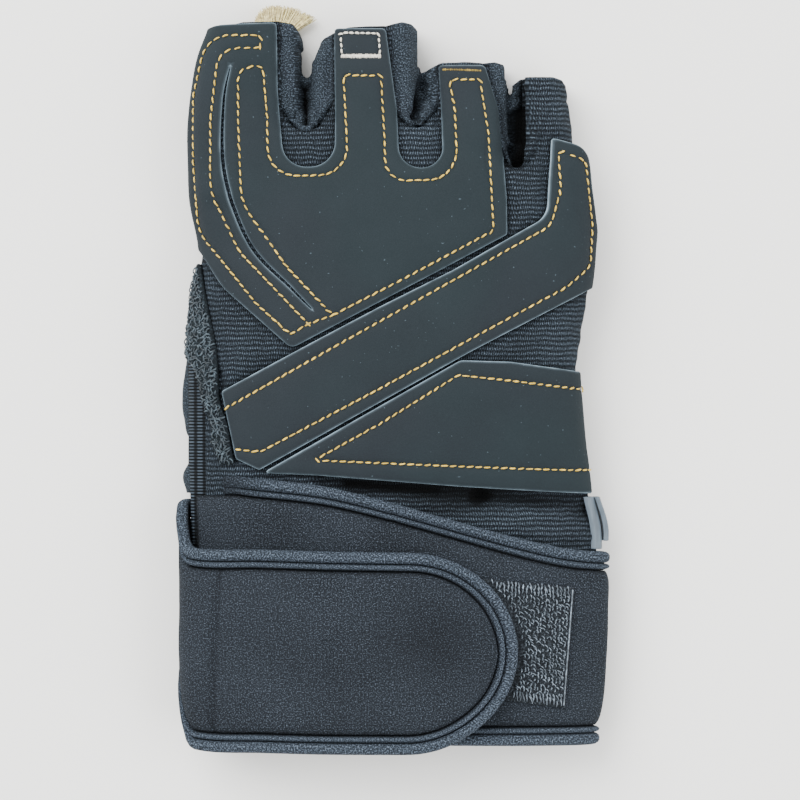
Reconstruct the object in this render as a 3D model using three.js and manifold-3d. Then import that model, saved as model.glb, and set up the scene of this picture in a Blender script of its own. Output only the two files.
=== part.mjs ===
import * as THREE from "three";
import { mergeVertices } from "three/addons/utils/BufferGeometryUtils.js";
import Module from "manifold-3d";

// A left-hand fingerless weightlifting glove with a wrist wrap, lying on its back, palm up.
// Millimetres: fingers towards +Y, thumb side at -X, +Z up out of the palm.

const wasm = await Module();
wasm.setup();

// Driving sizes
const GLOVE_LENGTH = 197; // wrist edge to the tip of the index leather
const GLOVE_WIDTH = 118; // across the fastened wrap
const PALM_HEIGHT = 24; // the puffed body, floor to palm
const KNIT_WALL = 1.5;
const LEATHER_WALL = 1.3;
const LOOP_WALL = 2; // looped cloth of the thumb band
const FACING_WALL = 2.4;
const NEOPRENE_WALL = 3;
const HOOK_WALL = 1;
const TAB_WALL = 1.6;
const HEM_WIDTH = 5.2; // twin-roll hem of the wrap
const SLIT_WIDTH = 1.4; // widest part of the slit in the palm leather
const CLEARANCE = 0.3; // between neighbouring pieces

// Shape constants of a cross-section: higher is squarer
const UPPER_SQUARENESS = 3;
const LOWER_SQUARENESS = 6;
const FLAT_SHARE = 0.97; // below this share of its depth a section lies flat
const SEAM_SHARE = 0.5; // height of the side seams as a share of the palm's height
const FOURCHETTE_FLOOR = 0.18;
const THUMB_STALL_TOP = 0.375;
const RAMP_EDGE = -27; // the body's floor rises to the left of this, over the folded thumb stall
const RAMP_WIDTH = 9;

// Mesh fineness
const HAND_SIDES = 28;
const FINGER_SIDES = 16;
const CORNER_STEPS = 5;
const SPLINE_STEPS = 24;
const TINY = 0.01;

const across = (share) => (share / 100) * GLOVE_WIDTH;
const along = (share) => (share / 100) * GLOVE_LENGTH;
const high = (share) => share * PALM_HEIGHT;

const WRAP_LAYER = CLEARANCE + NEOPRENE_WALL;
const STRAP_OFFSET = WRAP_LAYER + CLEARANCE + HOOK_WALL + CLEARANCE;
const SEAM_HEIGHT = high(SEAM_SHARE);

// In every table, along is per cent of the glove's length from the wrist edge, and left, right
// and x are per cent of its width from the middle line.

// Body sections. raise: share of the wrap's thickness that lies under the body. top: share of
// the palm's height. lift: share of the height over the folded thumb stall. front: 1 where the
// wall faces the fingers.
const HAND_ROWS = [
  { along: 2.5, left: -44.9, right: 44.7, raise: 1, top: 0.7, lift: 0, front: 0 },
  { along: 9, left: -45.9, right: 46.4, raise: 1, top: 0.71, lift: 0, front: 0 },
  { along: 17, left: -46.1, right: 47, raise: 1, top: 0.71, lift: 0, front: 0 },
  { along: 28.5, left: -46.1, right: 47, raise: 1, top: 0.71, lift: 0, front: 0 },
  { along: 34.5, left: -46.3, right: 45.4, raise: 1, top: 0.8, lift: 0.75, front: 0 },
  { along: 38, left: -46.3, right: 44.8, raise: 0.7, top: 0.86, lift: 1, front: 0 },
  { along: 44.2, left: -46.3, right: 43.4, raise: 0, top: 0.94, lift: 1, front: 0 },
  { along: 54.2, left: -46.2, right: 42.4, raise: 0, top: 1, lift: 1, front: 0 },
  { along: 60, left: -45.6, right: 43.8, raise: 0, top: 1, lift: 0.95, front: 0 },
  { along: 63.3, left: -45.2, right: 45, raise: 0, top: 0.995, lift: 0.75, front: 0 },
  { along: 68.9, left: -43.6, right: 45.9, raise: 0, top: 0.98, lift: 0.2, front: 0 },
  { along: 75.8, left: -45.7, right: 45.2, raise: 0, top: 0.93, lift: 0, front: 0 },
  { along: 80.1, left: -45.9, right: 42.7, raise: 0, top: 0.88, lift: 0, front: 1 },
  { along: 81.3, left: -45.9, right: 26.2, raise: 0, top: 0.86, lift: 0, front: 1 },
  { along: 85.6, left: -45.9, right: 25.7, raise: 0, top: 0.82, lift: 0, front: 1 },
];

// Finger stalls. floor and top: shares of the palm's height.
const FINGER_ROWS = {
  index: [
    { along: 76, left: -45.2, right: -20, floor: 0, top: 0.86 },
    { along: 85.3, left: -45.9, right: -20.9, floor: 0, top: 0.8 },
    { along: 95, left: -44.1, right: -20.6, floor: 0.02, top: 0.75 },
    { along: 99.3, left: -41.5, right: -20.6, floor: 0.03, top: 0.7 },
  ],
  middle: [
    { along: 72, left: -18.2, right: 7.9, floor: 0, top: 0.86 },
    { along: 85.3, left: -18.2, right: 7.7, floor: 0, top: 0.82 },
    { along: 95, left: -18.2, right: 6.3, floor: 0.02, top: 0.77 },
    { along: 99.3, left: -15.9, right: 6.1, floor: 0.03, top: 0.71 },
  ],
  ring: [
    { along: 70, left: 9, right: 27, floor: 0, top: 0.84 },
    { along: 80, left: 9.2, right: 27, floor: 0, top: 0.8 },
    { along: 88, left: 8.7, right: 26.7, floor: 0.02, top: 0.75 },
    { along: 94.2, left: 7.4, right: 26.4, floor: 0.03, top: 0.68 },
  ],
  little: [
    { along: 70, left: 27.8, right: 43.5, floor: 0, top: 0.8 },
    { along: 80.1, left: 27.8, right: 42, floor: 0, top: 0.76 },
    { along: 88, left: 27.5, right: 40.7, floor: 0.02, top: 0.68 },
    { along: 92.5, left: 27.4, right: 39.8, floor: 0.03, top: 0.63 },
  ],
};

// The thumb stall lies folded behind the left edge, its mouth towards the fingers.
const THUMB_ROWS = [
  { along: 35.6, left: -47.1, right: -32, floor: 0, top: THUMB_STALL_TOP },
  { along: 38, left: -48.1, right: -30.5, floor: 0, top: THUMB_STALL_TOP },
  { along: 41.5, left: -45.7, right: -30, floor: 0, top: THUMB_STALL_TOP },
  { along: 44.5, left: -47.4, right: -30, floor: 0, top: THUMB_STALL_TOP },
  { along: 48.5, left: -48.1, right: -30.5, floor: 0, top: THUMB_STALL_TOP },
  { along: 52, left: -47.4, right: -31, floor: 0, top: THUMB_STALL_TOP },
  { along: 55.9, left: -46.1, right: -32.5, floor: 0, top: 0.35 },
];

// The strips between the fingers take the stall walls from left to right beyond along.
const FOURCHETTE_ROWS = [
  { name: "fourchette_index_middle", left: -25.3, right: -13.4, along: 84.3 },
  { name: "fourchette_middle_ring", left: 0.2, right: 10.7, along: 84.3 },
  { name: "fourchette_ring_little", left: 22.4, right: 30, along: 79 },
];

// Outlines of the leather pieces. round: corner radius as per cent of the glove's width.
const PALM_PAD_ROWS = [
  { x: -46.3, along: 99.6, round: 8 },
  { x: -26.2, along: 100.1, round: 0.9 },
  { x: -25.9, along: 90.8, round: 0 },
  { x: -24.6, along: 80.1, round: 5.6 },
  { x: -12.8, along: 80.2, round: 5.6 },
  { x: -13.2, along: 99.2, round: 0.7 },
  { x: -1.3, along: 99.2, round: 1 },
  { x: 1.3, along: 88.1, round: 5 },
  { x: 1.8, along: 79.9, round: 5.1 },
  { x: 12, along: 80, round: 5.1 },
  { x: 10.6, along: 94.2, round: 0.7 },
  { x: 21.4, along: 94.2, round: 1.3 },
  { x: 24.6, along: 88.1, round: 6.8 },
  { x: 26.3, along: 75.8, round: 6.8 },
  { x: 26.4, along: 70.9, round: 0.4 },
  { x: -22.8, along: 55.4, round: 2.1 },
  { x: -38.8, along: 63.8, round: 12.7 },
  { x: -47.6, along: 71.8, round: 11.9 },
  { x: -48.6, along: 85.3, round: 8.5 },
];

const CROSS_BAND_ROWS = [
  { x: 36.5, along: 84.2, round: 0.5 },
  { x: 45.1, along: 82.9, round: 4.2 },
  { x: 47.4, along: 71.9, round: 8.5 },
  { x: 48.3, along: 64.4, round: 3.4 },
  { x: 17.5, along: 54.8, round: 0 },
  { x: -30.2, along: 38.9, round: 0.5 },
  { x: -35.6, along: 40.4, round: 0.5 },
  { x: -38.9, along: 49.6, round: 0.5 },
  { x: -2.6, along: 61.1, round: 0 },
  { x: 14.1, along: 66.1, round: 0 },
  { x: 35.6, along: 73.4, round: 5.1 },
];

const HEEL_PAD_ROWS = [
  { x: -29.4, along: 38.5, round: 0.3 },
  { x: 15.7, along: 53.8, round: 2.5 },
  { x: 27.1, along: 53.6, round: 0 },
  { x: 44.3, along: 52.2, round: 1.3 },
  { x: 45.6, along: 44.2, round: 0 },
  { x: 47, along: 35.5, round: 0.4 },
  { x: 14.9, along: 36.7, round: 0 },
  { x: -17.1, along: 38.2, round: 0 },
];

const HOOK_PATCH_ROWS = [
  { x: 12, along: 24.5, round: 0 },
  { x: 41.9, along: 22.7, round: 0 },
  { x: 39.7, along: 6.2, round: 0 },
  { x: 13.4, along: 8.4, round: 0 },
];

// The slit between the index strip and the rest of the palm leather, from tip to tip
const SLIT_ROWS = [
  { x: -36.8, along: 94.1 },
  { x: -38.4, along: 88.8 },
  { x: -38.1, along: 79.2 },
  { x: -32.3, along: 69.6 },
  { x: -22.7, along: 63.5 },
  { x: -17.9, along: 60.6 },
];

// Both edges of the looped band along the thumb seam; the outer edge starts past the side.
const THUMB_BAND_ROWS = [
  { along: 67, outer: -50, inner: -44.4 },
  { along: 61.4, outer: -50, inner: -42.4 },
  { along: 56, outer: -49, inner: -40.4 },
  { along: 52.2, outer: -45.2, inner: -39.8 },
  { along: 48.3, outer: -43.6, inner: -39.4 },
  { along: 45.1, outer: -41.5, inner: -37.6 },
  { along: 42, outer: -41, inner: -36.7 },
  { along: 39.6, outer: -39.2, inner: -35.9 },
];

// Edges of the wrap, by the share of its length from the inner end
const WRAP_ROWS = [
  { share: 0, upper: 38, lower: 1.2 },
  { share: 0.09, upper: 36.2, lower: 1.2 },
  { share: 0.27, upper: 28.4, lower: 1 },
  { share: 0.34, upper: 27.6, lower: 1.2 },
  { share: 0.5, upper: 29.5, lower: 3.5 },
  { share: 0.66, upper: 33.6, lower: 8 },
  { share: 0.71, upper: 32.5, lower: 6 },
  { share: 0.76, upper: 28.2, lower: 0.6 },
  { share: 0.85, upper: 27.6, lower: 0 },
  { share: 1, upper: 27.4, lower: 0 },
];
const WRAP_START = -34; // inner end on the palm side
const WRAP_END = 25.7; // tip of the rounded end
const WRAP_END_LENGTH = 24; // length of the rounded end, per cent of the width
const WRAP_STATIONS = 38;
const WRAP_END_STATIONS = 7;
const WRAP_LENGTHWISE_CUTS = 2;

const TAB_ROWS = [
  { x: -29.5, tip: 100.9, lean: -0.1 },
  { x: -28, tip: 101.5, lean: 0.1 },
  { x: -26.4, tip: 102.3, lean: -0.05 },
  { x: -24.9, tip: 102.2, lean: 0.15 },
  { x: -23.4, tip: 102.1, lean: 0.3 },
  { x: -22.4, tip: 101.5, lean: 0.6 },
  { x: -22, tip: 100.9, lean: 0.95 },
];

// Smooth value of one column at a place between two rows
function columnAt(rows, key, column, place) {
  const last = rows.length - 1;
  let at = 0;
  while (at < last - 1 && place > rows[at + 1][key]) at += 1;
  const from = rows[at];
  const to = rows[at + 1];
  const before = rows[Math.max(at - 1, 0)];
  const after = rows[Math.min(at + 2, last)];
  const span = to[key] - from[key];
  const slopeFrom = ((to[column] - before[column]) / (to[key] - before[key])) * span;
  const slopeTo = ((after[column] - from[column]) / (after[key] - from[key])) * span;
  const t = THREE.MathUtils.clamp((place - from[key]) / span, 0, 1);
  const t2 = t * t;
  const t3 = t2 * t;
  return (
    (2 * t3 - 3 * t2 + 1) * from[column] +
    (t3 - 2 * t2 + t) * slopeFrom +
    (3 * t2 - 2 * t3) * to[column] +
    (t3 - t2) * slopeTo
  );
}

function rowAt(rows, place) {
  const row = {};
  for (const column of Object.keys(rows[0])) {
    row[column] = column === "along" ? place : columnAt(rows, "along", column, place);
  }
  return row;
}

// Floor of a section under x: on the wrap, over the thumb stall or as its own row says
function floorAt(row, x) {
  if (row.lift === undefined) return high(row.floor);
  const t = THREE.MathUtils.clamp((across(RAMP_EDGE) - x) / across(RAMP_WIDTH), 0, 1);
  const ramp = t * t * (3 - 2 * t);
  const overStall = row.lift * (high(THUMB_STALL_TOP) + CLEARANCE) * ramp;
  return Math.max(row.raise * WRAP_LAYER, overStall);
}

// Point of a section's ring at an angle, moved out by offset
function sectionPoint(row, offset, angle) {
  const middle = (across(row.left) + across(row.right)) / 2;
  const halfWidth = (across(row.right) - across(row.left)) / 2 + offset;
  const base = row.lift === undefined ? high(row.floor) : row.raise * WRAP_LAYER;
  const waist = (base + high(row.top)) / 2;
  const cosine = Math.cos(angle);
  const sine = Math.sin(angle);
  const squareness = sine >= 0 ? UPPER_SQUARENESS : LOWER_SQUARENESS;
  const x = middle + halfWidth * Math.sign(cosine) * Math.abs(cosine) ** (2 / squareness);
  if (sine >= 0) return new THREE.Vector2(x, waist + (high(row.top) - waist + offset) * sine);
  const depth = Math.max(sine / FLAT_SHARE, -1);
  return new THREE.Vector2(x, waist + (waist - floorAt(row, x + offset) + offset) * depth);
}

// Closed mesh through rings of points, capped at both ends
function skin(rings) {
  const sides = rings[0].length;
  const positions = rings.flat().flatMap((point) => [point.x, point.y, point.z]);
  const indices = [];
  for (let ring = 0; ring < rings.length - 1; ring += 1) {
    for (let side = 0; side < sides; side += 1) {
      const next = (side + 1) % sides;
      const here = ring * sides;
      const there = here + sides;
      indices.push(here + side, here + next, there + side);
      indices.push(here + next, there + next, there + side);
    }
  }
  const addCap = (ring, turned) => {
    const centre = new THREE.Vector3();
    rings[ring].forEach((point) => centre.addScaledVector(point, 1 / sides));
    const hub = positions.length / 3;
    positions.push(centre.x, centre.y, centre.z);
    for (let side = 0; side < sides; side += 1) {
      const from = ring * sides + side;
      const to = ring * sides + ((side + 1) % sides);
      indices.push(hub, turned ? to : from, turned ? from : to);
    }
  };
  addCap(0, true);
  addCap(rings.length - 1, false);
  const geometry = new THREE.BufferGeometry();
  geometry.setAttribute("position", new THREE.Float32BufferAttribute(positions, 3));
  geometry.setIndex(indices);
  return geometry;
}

function solidOf(geometry) {
  const bare = geometry.clone();
  bare.deleteAttribute("normal");
  bare.deleteAttribute("uv");
  const merged = mergeVertices(bare, 1e-4);
  const mesh = new wasm.Mesh({
    numProp: 3,
    vertProperties: new Float32Array(merged.attributes.position.array),
    triVerts: new Uint32Array(merged.index.array),
  });
  const solid = new wasm.Manifold(mesh);
  if (solid.volume() > 0) return solid;
  mesh.triVerts.reverse();
  return new wasm.Manifold(mesh);
}

// The largest body of a cut, without the slivers that a cut can leave
function mainBody(solid) {
  const bodies = solid.decompose();
  bodies.sort((a, b) => b.volume() - a.volume());
  return bodies[0];
}

function geometryOf(solid) {
  const mesh = mainBody(solid).getMesh();
  const geometry = new THREE.BufferGeometry();
  geometry.setAttribute("position", new THREE.BufferAttribute(mesh.vertProperties, 3));
  geometry.setIndex(new THREE.BufferAttribute(mesh.triVerts, 1));
  geometry.computeVertexNormals();
  return geometry;
}

// Solid through the sections of a table. tail and nose lengthen it past its two ends.
function loft(rows, sides, offset, tail, nose) {
  const first = rows[0].along;
  const last = rows[rows.length - 1].along;
  const rings = rows.map(({ along: place }) => {
    const row = rowAt(rows, place);
    const stretch = place === first ? -tail : place === last ? nose : 0;
    const front = row.front ?? 0;
    const y = along(place) + stretch + front * offset;
    return Array.from({ length: sides }, (_, side) => {
      const point = sectionPoint(row, offset, (2 * Math.PI * side) / sides);
      return new THREE.Vector3(point.x, y, point.y);
    });
  });
  return solidOf(skin(rings));
}

function block(left, right, near, far, floor, top) {
  const geometry = new THREE.BoxGeometry(right - left, far - near, top - floor);
  geometry.translate((left + right) / 2, (near + far) / 2, (floor + top) / 2);
  return solidOf(geometry);
}

// Everything of the glove's size and more, between two heights
function slab(floor, top) {
  return block(-GLOVE_WIDTH, GLOVE_WIDTH, -GLOVE_LENGTH, 2 * GLOVE_LENGTH, floor, top);
}

// Arc points of a rounded corner
function corner(before, at, after, radius) {
  const toBefore = before.clone().sub(at);
  const toAfter = after.clone().sub(at);
  const shorter = Math.min(toBefore.length(), toAfter.length());
  toBefore.normalize();
  toAfter.normalize();
  const half = Math.acos(THREE.MathUtils.clamp(toBefore.dot(toAfter), -1, 1)) / 2;
  const reach = Math.min(radius / Math.tan(half), 0.48 * shorter);
  if (reach < TINY) return [at];
  const start = at.clone().addScaledVector(toBefore, reach);
  const end = at.clone().addScaledVector(toAfter, reach);
  const weight = Math.sin(half);
  return Array.from({ length: CORNER_STEPS + 1 }, (_, step) => {
    const t = step / CORNER_STEPS;
    const a = (1 - t) * (1 - t);
    const b = 2 * t * (1 - t) * weight;
    const c = t * t;
    const sum = start.clone().multiplyScalar(a);
    return sum.addScaledVector(at, b).addScaledVector(end, c).divideScalar(a + b + c);
  });
}

function cutter(points) {
  const height = 3 * PALM_HEIGHT;
  const shape = new THREE.Shape(points);
  const geometry = new THREE.ExtrudeGeometry(shape, { depth: height, bevelEnabled: false });
  geometry.translate(0, 0, -PALM_HEIGHT);
  return solidOf(geometry);
}

function outlineCutter(rows) {
  const points = rows.map((row) => new THREE.Vector2(across(row.x), along(row.along)));
  const rounded = points.flatMap((point, index) => {
    const before = points[(index + points.length - 1) % points.length];
    const after = points[(index + 1) % points.length];
    return corner(before, point, after, across(rows[index].round));
  });
  return cutter(rounded);
}

function slitCutter() {
  const middle = new THREE.SplineCurve(
    SLIT_ROWS.map((row) => new THREE.Vector2(across(row.x), along(row.along))),
  );
  const left = [];
  const right = [];
  for (let step = 0; step <= SPLINE_STEPS; step += 1) {
    const t = step / SPLINE_STEPS;
    const point = middle.getPoint(t);
    const tangent = middle.getTangent(t);
    const half = (SLIT_WIDTH / 2) * Math.sin(Math.PI * t) ** 0.5 + TINY;
    left.push(new THREE.Vector2(point.x - tangent.y * half, point.y + tangent.x * half));
    right.unshift(new THREE.Vector2(point.x + tangent.y * half, point.y - tangent.x * half));
  }
  return cutter([...left, ...right]);
}

function thumbBandCutter() {
  const edge = (column) =>
    new THREE.SplineCurve(
      THUMB_BAND_ROWS.map((row) => new THREE.Vector2(across(row[column]), along(row.along))),
    ).getPoints(SPLINE_STEPS);
  return cutter([...edge("outer"), ...edge("inner").reverse()]);
}

// The outside of the whole body, moved out by offset and lengthened past its open ends
function bodyForm(offset, tail, nose) {
  let form = loft(HAND_ROWS, HAND_SIDES, offset, tail, 0);
  for (const rows of Object.values(FINGER_ROWS)) {
    form = form.add(loft(rows, FINGER_SIDES, offset, 0, nose));
  }
  return form;
}

// A layer of the given thickness over the body, starting at offset, on the palm side
function palmLayer(offset, thickness) {
  const outer = bodyForm(offset + thickness, 0, LEATHER_WALL * 2);
  const inner = bodyForm(offset, KNIT_WALL, LEATHER_WALL * 3);
  return outer.subtract(inner).intersect(slab(SEAM_HEIGHT + CLEARANCE / 2, 3 * PALM_HEIGHT));
}

function bodyPanels() {
  const outside = bodyForm(0, 0, 0);
  const inside = bodyForm(-KNIT_WALL, KNIT_WALL, KNIT_WALL);
  const shell = outside.subtract(inside);
  const gap = CLEARANCE / 2;
  const panels = [];
  let rest = shell;
  for (const row of FOURCHETTE_ROWS) {
    const region = (margin) =>
      block(
        across(row.left) - margin,
        across(row.right) + margin,
        along(row.along) - margin,
        2 * GLOVE_LENGTH,
        high(FOURCHETTE_FLOOR) - margin,
        3 * PALM_HEIGHT,
      );
    panels.push([row.name, shell.intersect(region(-gap))]);
    rest = rest.subtract(region(gap));
  }
  const thumbRoom = loft(THUMB_ROWS, FINGER_SIDES, CLEARANCE, CLEARANCE, CLEARANCE);
  const thumbHole = loft(THUMB_ROWS, FINGER_SIDES, -KNIT_WALL, GLOVE_LENGTH / 10, 0);
  const lower = rest.intersect(slab(-PALM_HEIGHT, SEAM_HEIGHT - gap));
  panels.push(["palm_panel", rest.intersect(slab(SEAM_HEIGHT + gap, 3 * PALM_HEIGHT))]);
  panels.push(["back_panel", lower.subtract(thumbRoom).subtract(thumbHole)]);
  return panels;
}

function thumbStall() {
  const outside = loft(THUMB_ROWS, FINGER_SIDES, 0, 0, 0);
  return outside.subtract(loft(THUMB_ROWS, FINGER_SIDES, -KNIT_WALL, KNIT_WALL, KNIT_WALL));
}

function sideFacing() {
  const outer = bodyForm(CLEARANCE + FACING_WALL, 0, 0);
  const band = outer.subtract(bodyForm(CLEARANCE, KNIT_WALL, 0));
  const near = along(28.2);
  const far = along(35.1);
  return band.intersect(block(across(45), GLOVE_WIDTH, near, far, high(0.3), high(0.68)));
}

// The way of the wrap round the wrist, as angles and offsets with the length so far
function wrapRoute() {
  const row = rowAt(HAND_ROWS, 17);
  const middle = (row.left + row.right) / 2;
  const half = (row.right - row.left) / 2;
  const angleOf = (x) => {
    const share = (x - middle) / half;
    return Math.acos(Math.sign(share) * Math.abs(share) ** (UPPER_SQUARENESS / 2));
  };
  const start = angleOf(WRAP_START);
  const end = angleOf(WRAP_END) - 2 * Math.PI;
  const steps = 400;
  const route = [];
  let length = 0;
  let previous = null;
  for (let step = 0; step <= steps; step += 1) {
    const angle = start + ((end - start) * step) / steps;
    const overlap = (-Math.PI - angle) / (Math.PI - start);
    const t = THREE.MathUtils.clamp(overlap / 0.8, 0, 1);
    const rise = t * t * (3 - 2 * t);
    const offset = CLEARANCE + (STRAP_OFFSET - CLEARANCE) * rise;
    const point = sectionPoint(row, offset, angle);
    if (previous) length += point.distanceTo(previous);
    previous = point;
    route.push({ length, angle, offset });
  }
  return route;
}

const WRAP_ROUTE = wrapRoute();
const WRAP_LENGTH = WRAP_ROUTE[WRAP_ROUTE.length - 1].length;

// Point of the wrap: length along it, place along the glove in mm, height over its inner face
function wrapPoint(length, y, height) {
  const last = WRAP_ROUTE.length - 1;
  let at = 1;
  while (at < last && WRAP_ROUTE[at].length < length) at += 1;
  const from = WRAP_ROUTE[at - 1];
  const to = WRAP_ROUTE[at];
  const t = (length - from.length) / (to.length - from.length);
  const angle = THREE.MathUtils.lerp(from.angle, to.angle, t);
  const offset = THREE.MathUtils.lerp(from.offset, to.offset, t);
  const row = rowAt(HAND_ROWS, (y / GLOVE_LENGTH) * 100);
  const point = sectionPoint(row, offset + height, angle);
  return new THREE.Vector3(point.x, y, point.y);
}

// Length along the wrap where half the way and half the turn up to limit add up to progress:
// this sets the stations close together round the sides and wide apart on the flats.
function lengthAtProgress(progress, limit) {
  const within = WRAP_ROUTE.filter((place) => place.length <= limit);
  const first = within[0];
  const last = within[within.length - 1];
  const done = (place) => {
    const turned = (place.angle - first.angle) / (last.angle - first.angle);
    return (turned + place.length / last.length) / 2;
  };
  return (within.find((place) => done(place) >= progress) ?? last).length;
}

// Stations of the wrap's outline, moved in by inset: length along it, upper and lower edge
function wrapStations(inset) {
  const roundedLength = across(WRAP_END_LENGTH);
  const straight = WRAP_LENGTH - roundedLength;
  const upperAt = (length) => along(columnAt(WRAP_ROWS, "share", "upper", length / WRAP_LENGTH));
  const lowerAt = (length) => along(columnAt(WRAP_ROWS, "share", "lower", length / WRAP_LENGTH));
  const stations = [];
  for (let step = 0; step <= WRAP_STATIONS; step += 1) {
    const length = lengthAtProgress(step / WRAP_STATIONS, straight);
    stations.push({ length, upper: upperAt(length) - inset, lower: lowerAt(length) + inset });
  }
  const middle = (upperAt(WRAP_LENGTH) + lowerAt(WRAP_LENGTH)) / 2;
  for (let step = 1; step <= WRAP_END_STATIONS; step += 1) {
    const angle = ((Math.PI / 2) * step) / (WRAP_END_STATIONS + 0.6);
    const length = straight + (roundedLength - inset) * Math.sin(angle);
    const upper = middle + (upperAt(length) - middle - inset) * Math.cos(angle);
    const lower = middle + (lowerAt(length) - middle + inset) * Math.cos(angle);
    stations.push({ length, upper, lower });
  }
  return stations;
}

// The band of the wrap between its hems, made thicker on both faces by margin
function wrapBand(inset, margin) {
  const rings = wrapStations(inset).map((station) => {
    const ring = [];
    for (const height of [-margin, NEOPRENE_WALL + margin]) {
      for (let cut = 0; cut <= WRAP_LENGTHWISE_CUTS; cut += 1) {
        const t = height > 0 ? cut : WRAP_LENGTHWISE_CUTS - cut;
        const y = THREE.MathUtils.lerp(station.upper, station.lower, t / WRAP_LENGTHWISE_CUTS);
        ring.push(wrapPoint(station.length, y, height));
      }
    }
    return ring;
  });
  return solidOf(skin(rings));
}

// What the wrap, its hem and the side strip keep clear of
function bodyRoom() {
  return loft(HAND_ROWS, HAND_SIDES, CLEARANCE, KNIT_WALL, 0);
}

function wristWrap() {
  return wrapBand(HEM_WIDTH + CLEARANCE, 0).subtract(bodyRoom());
}

// The hem runs along the upper edge, round the end and back along the lower edge.
function wrapHem() {
  const outer = wrapStations(0);
  const inner = wrapStations(HEM_WIDTH);
  const section = (far, near, side) =>
    [
      [far, 0],
      [far, NEOPRENE_WALL],
      [near, NEOPRENE_WALL],
      [near, 0],
    ].map(([station, height]) => wrapPoint(station.length, station[side], height));
  const rings = outer.map((station, index) => section(station, inner[index], "upper"));
  const back = outer.map((station, index) => section(station, inner[index], "lower")).reverse();
  return solidOf(skin([...rings, ...back])).subtract(bodyRoom());
}

function hookPatch() {
  const offset = WRAP_LAYER + CLEARANCE;
  const outer = loft(HAND_ROWS, HAND_SIDES, offset + HOOK_WALL, 0, 0);
  const inner = loft(HAND_ROWS, HAND_SIDES, offset, KNIT_WALL, 0);
  const patch = outer.subtract(inner).intersect(outlineCutter(HOOK_PATCH_ROWS));
  return patch.intersect(slab(SEAM_HEIGHT, 3 * PALM_HEIGHT)).subtract(wrapBand(0, CLEARANCE));
}

// Locks of frayed cloth, fused to a strip inside the mouth of the index stall
function pullTab() {
  const index = FINGER_ROWS.index;
  const mouth = index[index.length - 1];
  const floor = high(mouth.floor) + KNIT_WALL + CLEARANCE;
  const root = along(96.5);
  const left = across(-30);
  const right = across(-23.5);
  let tab = block(left, right, root, along(99.8), floor, floor + TAB_WALL);
  for (const row of TAB_ROWS) {
    const foot = along(98.8);
    const length = along(row.tip) - foot;
    const lock = new THREE.CylinderGeometry(TAB_WALL * 0.25, TAB_WALL * 0.6, length, 6);
    lock.translate(0, length / 2, 0);
    lock.rotateZ(-row.lean);
    lock.translate(across(row.x), foot, floor + TAB_WALL / 2);
    tab = tab.add(solidOf(lock));
  }
  const outside = bodyForm(CLEARANCE, 0, CLEARANCE);
  const inside = bodyForm(-KNIT_WALL - CLEARANCE, 0, 2 * KNIT_WALL);
  return tab.subtract(outside.subtract(inside));
}

const leather = palmLayer(CLEARANCE, LEATHER_WALL);
const solids = [
  ...bodyPanels(),
  ["thumb_stall", thumbStall()],
  ["thumb_band", palmLayer(CLEARANCE, LOOP_WALL).intersect(thumbBandCutter())],
  ["palm_pad", leather.intersect(outlineCutter(PALM_PAD_ROWS)).subtract(slitCutter())],
  ["cross_band", leather.intersect(outlineCutter(CROSS_BAND_ROWS))],
  ["heel_pad", leather.intersect(outlineCutter(HEEL_PAD_ROWS))],
  ["side_facing", sideFacing()],
  ["wrist_wrap", wristWrap()],
  ["wrap_hem", wrapHem()],
  ["hook_patch", hookPatch()],
  ["pull_tab", pullTab()],
];

const CLOTHS = {
  knit: { color: 0x1b1d20, roughness: 0.9, metalness: 0 },
  leather: { color: 0x2a2d2c, roughness: 0.75, metalness: 0 },
  neoprene: { color: 0x2c3238, roughness: 0.85, metalness: 0 },
  facing: { color: 0x4d5a63, roughness: 0.7, metalness: 0 },
  hook: { color: 0x23262a, roughness: 0.6, metalness: 0 },
  tab: { color: 0xd9c9a0, roughness: 0.95, metalness: 0 },
};
const CLOTH_OF = {
  palm_pad: "leather",
  cross_band: "leather",
  heel_pad: "leather",
  wrist_wrap: "neoprene",
  wrap_hem: "neoprene",
  side_facing: "facing",
  hook_patch: "hook",
  pull_tab: "tab",
};

const glove = new THREE.Group();
for (const [name, solid] of solids) {
  const material = new THREE.MeshStandardMaterial(CLOTHS[CLOTH_OF[name] ?? "knit"]);
  const mesh = new THREE.Mesh(geometryOf(solid), material);
  mesh.name = name;
  glove.add(mesh);
}

// The origin is the middle of the glove's box, on the surface that it lies on.
const box = new THREE.Box3().setFromObject(glove);
const centre = box.getCenter(new THREE.Vector3());
const group = new THREE.Group();
glove.position.set(-centre.x, -centre.y, -box.min.z);
group.add(glove);

export default group;
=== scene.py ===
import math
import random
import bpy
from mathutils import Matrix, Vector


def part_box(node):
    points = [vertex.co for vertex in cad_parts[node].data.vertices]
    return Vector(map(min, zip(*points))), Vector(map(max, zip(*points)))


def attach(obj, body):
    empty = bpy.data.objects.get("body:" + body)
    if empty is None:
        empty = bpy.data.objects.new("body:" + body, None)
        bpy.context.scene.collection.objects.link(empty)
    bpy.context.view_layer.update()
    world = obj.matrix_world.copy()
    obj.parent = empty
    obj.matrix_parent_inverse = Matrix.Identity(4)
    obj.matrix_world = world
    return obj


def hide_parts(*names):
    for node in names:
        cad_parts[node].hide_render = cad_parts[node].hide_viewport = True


bl_info = {
    "name": "Lifting Glove",
    "version": (1, 0, 0),
    "blender": (4, 5, 0),
    "location": "View3D > Sidebar > Glove",
    "description": "A fingerless lifting glove with leather overlays and a wrist wrap",
    "category": "Add Mesh",
}

import bmesh
import bpy
import numpy as np
from mathutils import Vector, noise
from mathutils.bvhtree import BVHTree
from mathutils.geometry import delaunay_2d_cdt

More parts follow.
